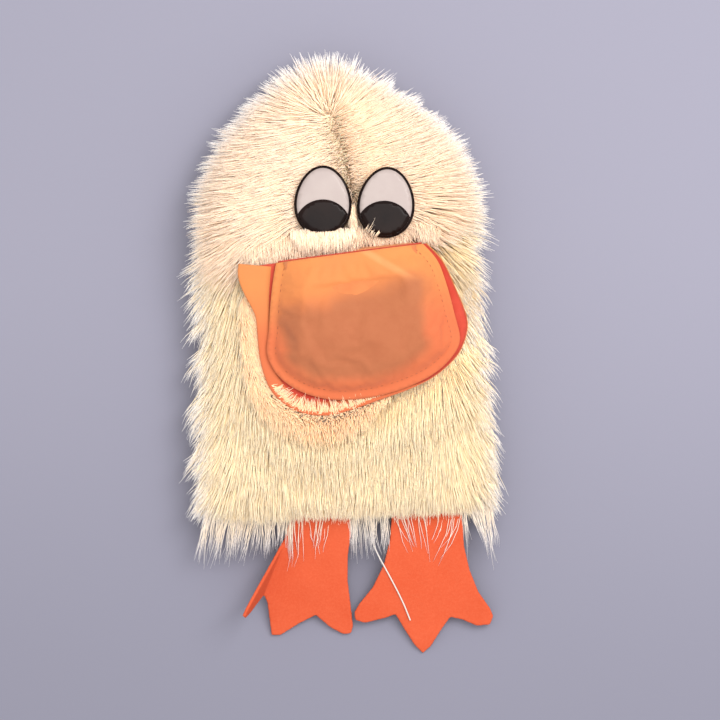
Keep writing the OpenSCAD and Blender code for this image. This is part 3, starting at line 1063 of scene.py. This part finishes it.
def make_tufts():
    """Pile that laps over the bill's root and the left eye's foot, and hairs across the right pupil."""
    # name; its line, width and height in mm; comb; lift; length in mm; strands per square millimetre; spread
    tufts = [
        ("tuft_root_left", [(-58, 55), (-46, 57), (-30, 60), (0, 63), (11, 64)], 7, 31.5,
         (0.05, -0.74, 0), 0.6, 14.5, 3.0, 0.2),
        ("tuft_root_right", [(31, 66), (38, 67), (46, 65)], 6, 31.5, (0.14, -0.6, 0), 0.6, 14, 3.0, 0.2),
        ("tuft_root_middle", [(10, 62.5), (21, 63.5), (33, 65)], 5, 30.5,
         (0.06, -0.6, 0), 0.42, 11, 3.0, 0.15),
        ("tuft_left_eye", [(-28, 63.6), (-12, 64.6), (4, 64.6)], 1.6, 36.4,
         (0.06, -0.86, 0), 0.32, 14, 9.0, 0.2),
        ("tuft_eye_gap", [(2.5, 78), (3.5, 66)], 3, 33, (0.05, -0.86, 0), 0.25, 13, 3.0, 0.2),
        ("tuft_right_eye", [(13.5, 61.2), (14.7, 61)], 1.2, 37.4, (0.62, 0.74, 0), 0.03, 26, 7.0, 0.05),
        ("tuft_right_eye_fine", [(8.5, 64.5), (13, 61)], 1.2, 37.3, (0.4, 0.8, 0), 0.08, 9, 2.2, 0.32),
    ]
    for k, (name, line, width, z, comb, lift, length, density, spread) in enumerate(tufts):
        laps = "root" in name or name == "tuft_left_eye"
        strand_w = 0.24 * MM if "right_eye" in name else 0.45 * MM
        base = straight_band(name + "_base", line, width, z, comb, lift)
        tuft = grow_pile(name, base, HEAD_PILE, density, 140 + k, body=None if laps else "root",
                         slot="head_fur", length=length * MM, width=strand_w, spread=spread, gather=0.4)
        if laps:
            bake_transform(tuft, "root", "lower_bill", start=on_bill(0, 11 * MM, 35 * MM),
                     end=on_bill(0, 2 * MM, 38 * MM))


def make_rim_pile():
    """Pile caught in the lower half's seam: it laps over the rim at the left and round the tip."""
    x, y = bill_xy(LOWER_OPEN)
    line = LOWER_OPEN[(x < 12 * MM) & (y < -6 * MM)]
    n = len(line)
    wide, beside, within = (moved_in(line, gap * MM * LOWER_SIDE, closed=False) for gap in (-7, -0.6, 1.6))
    x, y = bill_xy(line)
    ends = 0.1 + 0.9 * smooth(x, 12 * MM, -14 * MM) * smooth(y, -6 * MM, -16 * MM)
    outer = beside + (wide - beside) * ends[:, None]
    inwards = unit_rows(beside - wide)
    at_tip = smooth(inwards[:, 1], 0.1, 0.7)
    rim = beside + (within - beside) * at_tip[:, None]
    fall = np.tile([0.05, -0.62, 0.0], (n, 1))
    lap = np.column_stack([0.55 * inwards, np.zeros(n)]) + fall * (1 - at_tip)[:, None]
    level = np.full(n, LOWER_BOARD[1].z)
    outer_z = level - (1.6 + 5.4 * ends) * MM
    rim_z = level + (2.4 * at_tip - 1.6) * MM
    outer_share = 0.2 + 0.8 * ends
    rim_share = outer_share * (0.4 + 0.5 * at_tip)
    points = np.vstack([heights(outer, outer_z), heights(rim, rim_z)])
    share = np.concatenate([outer_share, rim_share])
    base = pile_base("rim_pile_base", points, band_faces(n), np.vstack([fall, lap]), share,
                     np.repeat([0.36, 0.2], n))
    # the rim pile's orange tint is painted glow of light from the bill
    grow_pile("pile_bill_rim", turned_up(base), BILL_GLOW_PILE, 3.4, 171, body="lower_bill", length=15 * MM,
              spread=0.2, gather=0.1)


def make_back():
    flat, faces = cut_cloth(SKIN_EDGE, 4 * MM)
    points = heights(flat, back_z(flat))
    comb = comb_of(flat, back=True)
    pile = np.minimum(1 - edge_trim(flat), hem_trim(flat, 6 * MM, 0.3))
    lift = np.full(len(flat), BACK_LIFT)
    x, y = flat[faces].mean(1).T
    left, upper = x < 0, y > BACK_SPLIT_Y
    areas = {
        "pile_back_upper_left": left & upper,
        "pile_back_upper_right": ~left & upper,
        "pile_back_lower_left": left & ~upper,
        "pile_back_lower_right": ~left & ~upper,
    }
    for k, (label, chosen) in enumerate(areas.items()):
        base = turned_up(pile_base(label + "_base", points, faces[chosen], comb, pile, lift), -1)
        drop_loose(base)
        grow_pile(label, base, BODY_PILE, BACK_DENSITY, 40 + k)
    skin_piece("back_skin", points, faces, "back_panel", "body_fur", up=-1)


# ---------------------------------------------------------------- eyes


def make_eye(side):
    """Three thin glossy layers, each a low dome with a rounded rim."""
    rim_low, rim_high = EYES[side].min(0), EYES[side].max(0)
    centre = EYES[side].mean(0)
    black, white = (EYE_BLACK, "eye_black"), (EYE_WHITE, "eye_white")
    for layer, (material, slot) in (("rim", black), ("white", white), ("pupil", black)):
        node = f"eye_{layer}_{side}"
        low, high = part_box(node)
        flat, faces = cut_cloth(rounded(outline(node), 0.9 * MM), 1.6 * MM)
        edge = depth_in(flat, outline(node))
        spread = np.linalg.norm((flat - centre) / (rim_high - rim_low) * 2, axis=1)
        dome = 0.7 * MM * (1 - np.clip(spread, 0, 1) ** 2)
        top = high.z + dome - 0.22 * MM * smooth(edge, 0.7 * MM, 0)
        eye = turned_up(new_piece(f"eye_{layer}_film_{side}", heights(flat, top), faces, material))
        fitted(thickened(eye, high.z - low.z, -1), slot, "root", node)


# ---------------------------------------------------------------- bill

CLOTH_T = 0.7 * MM
FLANGE_IN = 4.6 * MM  # width of the flat rim that is sewn down
STITCH_IN = 4.4 * MM
ROOT_GAP = -0.2 * MM  # points nearer the root line than this count as on it
BILLOW_STEPS = 20
BILLOW_CAP = 2.2 * MM
GROWTH = 0.035  # share by which the loose cloth is larger than its flat cut
FLAP_OUT = 9.5 * MM  # how far the lower cover's corner stands out at the left of the root
COVER_RISE = 17 * MM  # width of the slope from a cover's flat rim to its crown or keel
COVER_FALL = 16 * MM


def upper_cover_z(points):
    """Height of the upper cover: flat outside its stitches, then rising to the hand pocket."""
    inwards = nearest_on(points, UPPER_OPEN, False)[0]
    _, y = bill_xy(points)
    flange = UPPER_BOARD[0].z + 0.45 * MM
    sunk = 2.4 * MM * smooth(y, -14 * MM, 0)
    crown = UPPER_TOP - 1.6 * MM - sunk - 1.2 * MM * smooth(y, -40 * MM, -66 * MM)
    t = np.clip((inwards - 0.8 * FLANGE_IN) / COVER_RISE, 0, 1)
    return flange + (crown - flange) * (1 - (1 - t) ** 2)


def lower_cover_z(points):
    """Height of the lower cover, which sinks to a shallow keel."""
    inwards = nearest_on(points, LOWER_OPEN, False)[0]
    _, y = bill_xy(points)
    flange = LOWER_BOARD[1].z - 0.45 * MM
    keel = LOWER_LOW + 0.9 * MM + 1.5 * MM * smooth(y, -14 * MM, 0)
    t = np.clip((inwards - 0.55 * FLANGE_IN) / COVER_FALL, 0, 1)
    return flange - (flange - keel) * (1 - (1 - t) ** 2)


def open_at_root(loop):
    """The bill's outline without its root line, from the right end round the tip to the left end."""
    x, y = bill_xy(loop)
    start = int(np.argmax(np.where(y > ROOT_GAP, x, -9)))
    ring = np.roll(loop, -start, axis=0)
    if bill_xy(ring[1:2])[1][0] >= ROOT_GAP:
        ring = np.roll(loop[::-1], start + 1, axis=0)
    _, y = bill_xy(ring)
    stop = next(i for i in range(2, len(ring)) if y[i] > ROOT_GAP)
    return ring[:stop + 1]


def inner_side(open_line, loop):
    """1 where moving a line to its left moves it into the loop, and -1 where that moves it out."""
    return 1 if inside(moved_in(open_line, 2 * MM, False)[20:21], loop)[0] else -1


def billow(piece, pinned):
    """Cloth simulation: the loose part of a sewn-down cover fills out and creases, by BILLOW_CAP at most."""
    rest = np.array([v.co for v in piece.data.vertices])
    held = piece.vertex_groups.new(name="sewn")
    for i, weight in enumerate(pinned):
        held.add([i], float(weight), "REPLACE")
    cloth = piece.modifiers.new("billow", "CLOTH")
    settings = {
        "quality": 6, "mass": 0.15, "vertex_group_mass": "sewn", "pin_stiffness": 20, "tension_stiffness": 12,
        "compression_stiffness": 12, "shear_stiffness": 5, "bending_stiffness": 0.35, "shrink_min": -GROWTH,
        "use_pressure": True, "uniform_pressure_force": 1.0,
    }
    for label, value in settings.items():
        setattr(cloth.settings, label, value)
    cloth.settings.effector_weights.gravity = 0
    cloth.collision_settings.use_collision = False
    cloth.point_cache.frame_start = 1
    cloth.point_cache.frame_end = BILLOW_STEPS
    for step in range(1, BILLOW_STEPS + 1):
        bpy.context.scene.frame_set(step)
    evaluated = piece.evaluated_get(bpy.context.evaluated_depsgraph_get())
    moved = np.array([v.co for v in evaluated.data.vertices])
    piece.modifiers.remove(cloth)
    bpy.context.scene.frame_set(1)
    shift = moved - rest
    size = np.linalg.norm(shift, axis=1, keepdims=True)
    shift *= np.minimum(1, BILLOW_CAP / np.maximum(size, 1e-9))
    piece.data.vertices.foreach_set("co", (rest + shift).astype(np.float32).ravel())
    piece.data.update()
    piece.vertex_groups.clear()


def make_stitches(name, line, material, slot, body, cad, pitch, length, thread, turn=0.0):
    """A row of stitches along a line of points in space."""
    path = new_piece(name + "_line", line, [])
    path.data.edges.add(len(line) - 1)
    for i, edge in enumerate(path.data.edges):
        edge.vertices = (i, i + 1)
    row = grown(name, path, STITCHES, {
        "Pitch": pitch, "Stitch length": length, "Thread": thread, "Turn": turn, "Material": material})
    row.data.shade_smooth()
    fitted(row, slot, body, cad)
    return row


def make_cover(half, loop, open_line, side, z_of, up, material):
    """One half's cloth cover with its topstitching, and the lower half's turned edge."""
    body = half + "_bill"
    line = moved_in(open_line, STITCH_IN * side, closed=False)
    spots = heights(line, z_of(line) + up * 0.5 * CLOTH_T + up * 0.1 * MM)
    sewn = [make_stitches(body + "_stitching", spots, ORANGE_THREAD, "orange_thread", body,
                          body + "_topstitch", pitch=2.6 * MM, length=2.0 * MM, thread=0.36 * MM)]
    flat, faces = cut_cloth(loop, 1.7 * MM)
    cover = turned_up(new_piece(body + "_cloth", heights(flat, z_of(flat)), faces, material), up)
    edge = nearest_on(np.array([v.co[:2] for v in cover.data.vertices]), loop)[0]
    billow(cover, smooth(edge, 1.25 * FLANGE_IN, FLANGE_IN))
    cover = thickened(cover, CLOTH_T, 0)
    fitted(cover, "bill_cloth", body, body + "_cover")
    if half == "lower":
        sewn.append(make_turned_edge())


def make_turned_edge():
    """The lower cover's edge, turned over the lining at the left and round the tip."""
    inner = moved_in(LOWER_OPEN, 6.5 * MM * LOWER_SIDE, closed=False)
    outer = moved_in(LOWER_OPEN, -0.25 * MM * LOWER_SIDE, closed=False)
    x, y = bill_xy(LOWER_OPEN)
    width = smooth(x, 30 * MM, 0) * 0.97 + 0.03
    flap = FLAP_OUT * smooth(y, -28 * MM, -3 * MM) * smooth(x, 0, -20 * MM)
    inner = outer + (inner - outer) * width[:, None]
    outer = outer - unit_rows(inner - outer) * flap[:, None]
    rows = 7
    round_share = 0.3
    climb = LOWER_LINING[1].z - LOWER_BOARD[1].z + 0.55 * MM
    points = []
    for k in range(rows):
        t = k / (rows - 1)
        spot = outer + (inner - outer) * max(0.0, (t - round_share) / (1 - round_share))
        z = LOWER_BOARD[1].z - 0.5 * MM + climb * math.sin(min(1, t / round_share) * math.pi / 2)
        points.append(heights(spot, z - 0.25 * MM * max(0.0, t - 0.6)))
    faces = grid_faces(rows, len(outer))
    edge = turned_up(new_piece("lower_bill_turned_edge", np.vstack(points), faces, LOWER_CLOTH))
    edge = thickened(edge, 0.35 * MM, 0)
    fitted(edge, "bill_cloth", "lower_bill")
    return edge


def make_lining():
    """The red lining: one sheet that lies on both boards and is folded at the bill's root."""
    lower = rounded(outline("lower_mouth_lining"), 2.2 * MM)
    upper = rounded(outline("upper_mouth_lining"), 2.2 * MM)
    low_flat, low_faces = cut_cloth(lower, 2.4 * MM)
    up_flat, up_faces = cut_cloth(upper, 2.4 * MM)
    low_z = (LOWER_LINING[0].z + LOWER_LINING[1].z) / 2
    up_z = (UPPER_LINING[0].z + UPPER_LINING[1].z) / 2
    fold_x = np.linspace(-36, 36, 31) * MM
    fold = []
    turns = 7
    for k in range(turns):
        angle = math.pi * k / (turns - 1)
        out = 0.1 * MM + 0.5 * MM * math.sin(angle)
        z = (low_z + up_z) / 2 - (up_z - low_z) / 2 * math.cos(angle)
        fold.append(np.array([on_bill(float(x), out, z) for x in fold_x]))
    parts = [
        (heights(low_flat, low_z), low_faces),
        (np.vstack(fold), grid_faces(turns, len(fold_x))),
        (heights(up_flat, up_z), up_faces),
    ]
    points, faces = [], []
    for spots, cells in parts:
        faces += [tuple(int(v) + len(points) for v in cell) for cell in cells]
        points += list(spots)
    lining = thickened(new_piece("mouth_lining_cloth", points, faces, RED_CLOTH), 0.5 * MM, 0)
    fitted(lining, "mouth_lining", None, "lower_mouth_lining", "upper_mouth_lining")
    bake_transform(lining, "lower_bill", "upper_bill", start=on_bill(0, 0, LOWER_LINING[1].z),
             end=on_bill(0, 0, UPPER_LINING[0].z))


def make_pocket(node, name, body, board_z, cover_z, toward):
    """A soft pocket sewn to a board on three sides, open at the bill's root."""
    loop = rounded(outline(node), 3 * MM)
    flat, faces = cut_cloth(loop, 3 * MM)
    closed_sides = rounded(open_at_root(loop), 3 * MM, closed=False)
    edge = nearest_on(flat, closed_sides, False)[0]
    t = np.clip(edge / (13 * MM), 0, 1)
    gap = 0.5 * MM
    room = np.abs(cover_z(flat) - board_z) - 1.3 * MM
    z = board_z + toward * (gap + np.maximum(room - gap, 0) * np.sin(t * math.pi / 2))
    pocket = turned_up(new_piece(name, heights(flat, z), faces, POCKET_CLOTH), toward)
    pocket = thickened(pocket, 0.6 * MM, 0)
    fitted(pocket, "bill_cloth", body, node)


# ---------------------------------------------------------------- feet and loose thread

BRIDGE_LENGTH = 5 * MM  # felt that joins a foot to its root under the hem


def make_foot(side, hinge):
    """One felt foot with its sewn-in root, one sheet that bends at the hem."""
    foot, tab = "foot_" + side, "foot_tab_" + side
    shape = bmesh.new()
    for node in (foot, tab):
        shape.from_mesh(frame["nodes"][node].data)
    low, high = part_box(tab)
    middle = (low + high) / 2
    for v in bmesh.ops.create_cube(shape, size=1)["verts"]:
        v.co = Vector((
            middle.x + v.co.x * (high.x - low.x),
            hinge.y + 0.2 * MM + v.co.y * BRIDGE_LENGTH,
            middle.z + v.co.z * (high.z - low.z),
        ))
    bmesh.ops.remove_doubles(shape, verts=shape.verts, dist=0.001 * MM)
    mesh = bpy.data.meshes.new(foot + "_rough")
    shape.to_mesh(mesh)
    shape.free()
    rough = new_object(foot + "_rough", mesh)
    remesh = rough.modifiers.new("felt", "REMESH")
    remesh.mode = "VOXEL"
    remesh.voxel_size = 0.55 * MM
    relax = rough.modifiers.new("relax", "SMOOTH")
    relax.factor = 0.5
    relax.iterations = 6
    felt = plain_copy(foot + "_felt", rough)
    felt.data.materials.clear()
    felt.data.materials.append(FELT)
    felt.data.shade_smooth()
    co = np.empty(len(felt.data.vertices) * 3, np.float32)
    felt.data.vertices.foreach_get("co", co)
    co = co.reshape(-1, 3)
    free = smooth(hinge.y - co[:, 1], 6 * MM, 30 * MM)
    co[:, 2] += (0.22 * MM * waves(co[:, :2].astype(float), 12 * MM, 1.0) * free).astype(np.float32)
    co[:, 2] = np.maximum(co[:, 2], 0.02 * MM)
    felt.data.vertices.foreach_set("co", co.ravel())
    felt.data.update()
    fitted(felt, "felt", None, foot, tab)
    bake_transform(felt, "root", foot, start=(hinge.x, hinge.y + 1.0 * MM, hinge.z),
             end=(hinge.x, hinge.y - 3 * MM, hinge.z))


THREAD_D = 0.7 * MM
# points in mm, listed from the hem to the free end
THREAD_ROUTE = [
    (10.8, -80.4, 18.4), (11.4, -85, 17.2), (12.2, -90, 15.8), (13.9, -95, 14.6), (16.2, -100, 13.7),
    (18.9, -105, 13.1), (21.6, -110, 12), (24.2, -115, 10.8), (26.7, -120, 9.6), (29, -125, 8.4),
    (31, -130, 7.2), (32, -132.5, 6.6),
]


def make_loose_thread():
    """The end of white sewing thread that hangs from the hem and lies on the right foot."""
    route = [Vector(p) * MM for p in THREAD_ROUTE]
    data = bpy.data.curves.new("loose_white_thread", "CURVE")
    data.dimensions = "3D"
    data.bevel_depth = THREAD_D / 2
    data.bevel_resolution = 3
    data.use_fill_caps = True
    spline = data.splines.new("BEZIER")
    spline.bezier_points.add(len(route) - 1)
    for spot, point in zip(spline.bezier_points, route):
        spot.co = point
        spot.handle_left_type = "AUTO"
        spot.handle_right_type = "AUTO"
    data.resolution_u = 6
    data.materials.append(WHITE_THREAD)
    thread = new_object("loose_white_thread", data)
    fitted(thread, "white_thread", "foot_right", "loose_thread")


# ---------------------------------------------------------------- hidden sewing and filling

HEM_MARGIN = 16 * MM  # from each end of the hem to its first stitch


def make_seams():
    """Stitches of the middle seam, the side seam and the hem, on the skins."""
    low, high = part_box("centre_seam_thread")
    top = np.array([low.x + 1.5 * MM, high.y])
    bottom = np.array([high.x - 1.5 * MM, low.y])
    line = top + np.outer(np.linspace(0, 1, 12), bottom - top)
    # the middle seam's thread is white, painted olive for the shade in the parting
    make_stitches("centre_seam_stitches", heights(line, HEAD_TOP + 0.2 * MM), SHADED_WHITE_THREAD, "white_thread",
                  "root", "centre_seam_thread", pitch=1.7 * MM, length=3 * MM, thread=0.55 * MM,
                  turn=math.pi / 2)
    line = moved_in(SKIN_SIDES, -0.2 * MM, closed=False)
    make_stitches("side_seam_stitches", heights(line, SEAM_Z), WHITE_THREAD, "white_thread", "root",
                  "side_seam_thread", pitch=4 * MM, length=2.8 * MM, thread=0.6 * MM, turn=math.radians(55))
    hem_length = np.linalg.norm(RIGHT_HEM - LEFT_HEM)
    ahead = (RIGHT_HEM - LEFT_HEM) / hem_length
    begin = LEFT_HEM + ahead * HEM_MARGIN + np.array([0, 9 * MM])
    line = begin + np.outer(np.linspace(0, 1, 40), ahead * (hem_length - 2 * HEM_MARGIN))
    for face, z in (("front", front_z(line) + 0.25 * MM), ("back", back_z(line) + 1.05 * MM)):
        make_stitches("hem_stitches_" + face, heights(line, z), WHITE_THREAD, "white_thread", "root",
                      "hem_thread_" + face, pitch=8.5 * MM, length=5 * MM, thread=0.6 * MM)


def make_wadding():
    """A thin puffy sheet of wadding inside the forehead."""
    floor_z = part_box("head_wadding")[0].z
    loop = rounded(outline("head_wadding"), 4 * MM)
    flat, faces = cut_cloth(moved_in(loop, 1.5 * MM), 3.5 * MM)
    edge = nearest_on(flat, loop)[0]
    puff = 1.2 * MM + 2.2 * MM * np.sin(np.clip(edge / (12 * MM), 0, 1) * math.pi / 2)
    top = floor_z + 1.4 * MM + puff + 0.5 * MM * waves(flat, 9 * MM)
    bottom = floor_z + 0.3 * MM + 0.2 * MM * waves(flat, 11 * MM, 2.0)
    n = len(flat)
    walls = [(a, b, b + n, a + n) for a, b in open_edges(faces)]
    both = [tuple(f) for f in faces] + [tuple(f[::-1] + n) for f in faces] + walls
    pad = new_piece("forehead_wadding", np.vstack([heights(flat, top), heights(flat, bottom)]), both, WADDING)
    shape = bmesh.new()
    shape.from_mesh(pad.data)
    bmesh.ops.recalc_face_normals(shape, faces=shape.faces)
    shape.to_mesh(pad.data)
    shape.free()
    fitted(pad, "wadding", "root", "head_wadding")


def open_edges(faces):
    """The directed edges of a sheet that belong to one face only."""
    seen = dict.fromkeys((int(a), int(b)) for face in faces for a, b in zip(face, np.roll(face, -1)))
    return [(a, b) for a, b in seen if (b, a) not in seen]


def make_neck():
    """The bill's seam allowance: a band of cloth from the slot in the fur up to the lower half's root.

    Each level is a rounded oblong, and the levels get narrower and flatter on the way up.
    """
    points = []
    count = 48
    levels = 6
    foot_z = FRONT_Z + 3.5 * MM
    for k in range(levels):
        t = k / (levels - 1)
        half_w = (41 - 4.5 * t) * MM
        front, rear = (-17 + 13 * t) * MM, (5.2 - 4.9 * t) * MM
        z = foot_z + (LOWER_BOARD[1].z - FRONT_Z - 3.8 * MM) * t
        for i in range(count):
            angle = 2 * math.pi * i / count
            c, d = math.cos(angle), math.sin(angle)
            x = half_w * math.copysign(abs(c) ** 0.35, c) - 3 * MM * t
            y = (front + rear) / 2 + (rear - front) / 2 * math.copysign(abs(d) ** 0.6, d)
            crease = 0.5 * MM * math.sin(7 * angle + 3 * t)
            points.append(on_bill(x, y, z + crease))
    faces = grid_faces(levels, count, closed=True)
    neck = thickened(new_piece("bill_neck_cloth", points, faces, LOWER_CLOTH), 0.6 * MM, 0)
    fitted(neck, "bill_cloth", None)
    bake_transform(neck, "root", "lower_bill", start=on_bill(0, 0, FRONT_Z + 4 * MM),
             end=on_bill(0, 0, LOWER_LOW + 3 * MM))


def paint_boards():
    """The CAD boards keep their shape and get their card material."""
    for node in ("lower_mouth_board", "upper_mouth_board"):
        data = frame["nodes"][node].data
        data.materials.clear()
        data.materials.append(CARD)


# ---------------------------------------------------------------- the whole puppet

make_camera()
light_studio()

floor = new_piece("floor", [(-1, -1, 0), (1, -1, 0), (1, 1, 0), (-1, 1, 0)], [(0, 1, 2, 3)], floor_material())
floor.data.transform(Matrix.Scale(FLOOR_SIZE / 2, 4))

PILE = pile_tree()
STITCHES = stitch_tree()
HEAD_PILE = pile_material("cream_pile", (1.0, 0.73, 0.48), (1.0, 0.79, 0.61), (1.0, 0.74, 0.51))
BODY_PILE = pile_material("yellow_pile", (1.0, 0.76, 0.41), (1.0, 0.85, 0.61), (1.0, 0.79, 0.46))
FRINGE_PILE = pile_material("pale_pile", (0.9, 0.74, 0.55), (0.8, 0.74, 0.73), (0.85, 0.75, 0.64),
                            painted_edge_glow=(0.78, 0.73, 0.74))
# painted light: this pile's orange tint is the glow of light from the orange bill on the strands round its
# rim
BILL_GLOW_PILE = pile_material("pile_with_painted_bill_glow", (1.0, 0.6, 0.3), (1.0, 0.76, 0.49), (1.0, 0.66, 0.38),
                          painted_edge_glow=(1.0, 0.78, 0.52))
KNIT = knit_material()
UPPER_CLOTH = bill_material("orange_bill_cloth", board_shows=True)
LOWER_CLOTH = bill_material("orange_bill_underside", board_shows=False)
POCKET_CLOTH = plain_cloth_material("orange_pocket_cloth", (0.5, 0.142, 0.046), (0.533, 0.175, 0.058))
RED_CLOTH = plain_cloth_material("red_lining_cloth", (0.42, 0.034, 0.017), (0.47, 0.055, 0.03))
FELT = felt_material()
EYE_BLACK = plastic_material("eye_black_film", (0.006, 0.003, 0.003), (0.012, 0.006, 0.005), 0.04)
EYE_WHITE = plastic_material("eye_white_film", (0.335, 0.277, 0.262), (0.36, 0.302, 0.283), 0.15)
WHITE_THREAD = thread_material("white_sewing_thread", (0.55, 0.5, 0.458), (0.65, 0.608, 0.575))
ORANGE_THREAD = thread_material("orange_sewing_thread", (0.25, 0.062, 0.022), (0.333, 0.083, 0.03))
# painted shade: the middle seam's white thread is coloured olive, as it lies in the shade of the parting
SHADED_WHITE_THREAD = thread_material("white_thread_in_painted_shade", (0.42, 0.34, 0.2), (0.55, 0.46, 0.3))
CARD = card_material()
WADDING = wadding_material()

UPPER_OPEN = open_at_root(UPPER_BILL)
LOWER_OPEN = open_at_root(LOWER_BILL)
UPPER_SIDE = inner_side(UPPER_OPEN, UPPER_BILL)
LOWER_SIDE = inner_side(LOWER_OPEN, LOWER_BILL)

make_loose_thread()
make_front()
make_back()
make_tufts()
make_rim_pile()
make_seams()
make_wadding()
make_eye("left")
make_eye("right")
make_cover("lower", LOWER_BILL, LOWER_OPEN, LOWER_SIDE, lower_cover_z, -1, LOWER_CLOTH)
make_lining()
make_pocket("thumb_pocket", "thumb_pocket_cloth", "lower_bill", LOWER_BOARD[0].z, lower_cover_z, -1)
make_pocket("finger_pocket", "finger_pocket_cloth", "upper_bill", UPPER_BOARD[1].z, upper_cover_z, 1)
make_cover("upper", UPPER_BILL, UPPER_OPEN, UPPER_SIDE, upper_cover_z, 1, UPPER_CLOTH)
make_neck()
paint_boards()
make_foot("left", LEFT_HINGE)
make_foot("right", RIGHT_HINGE)

bpy.context.view_layer.update()
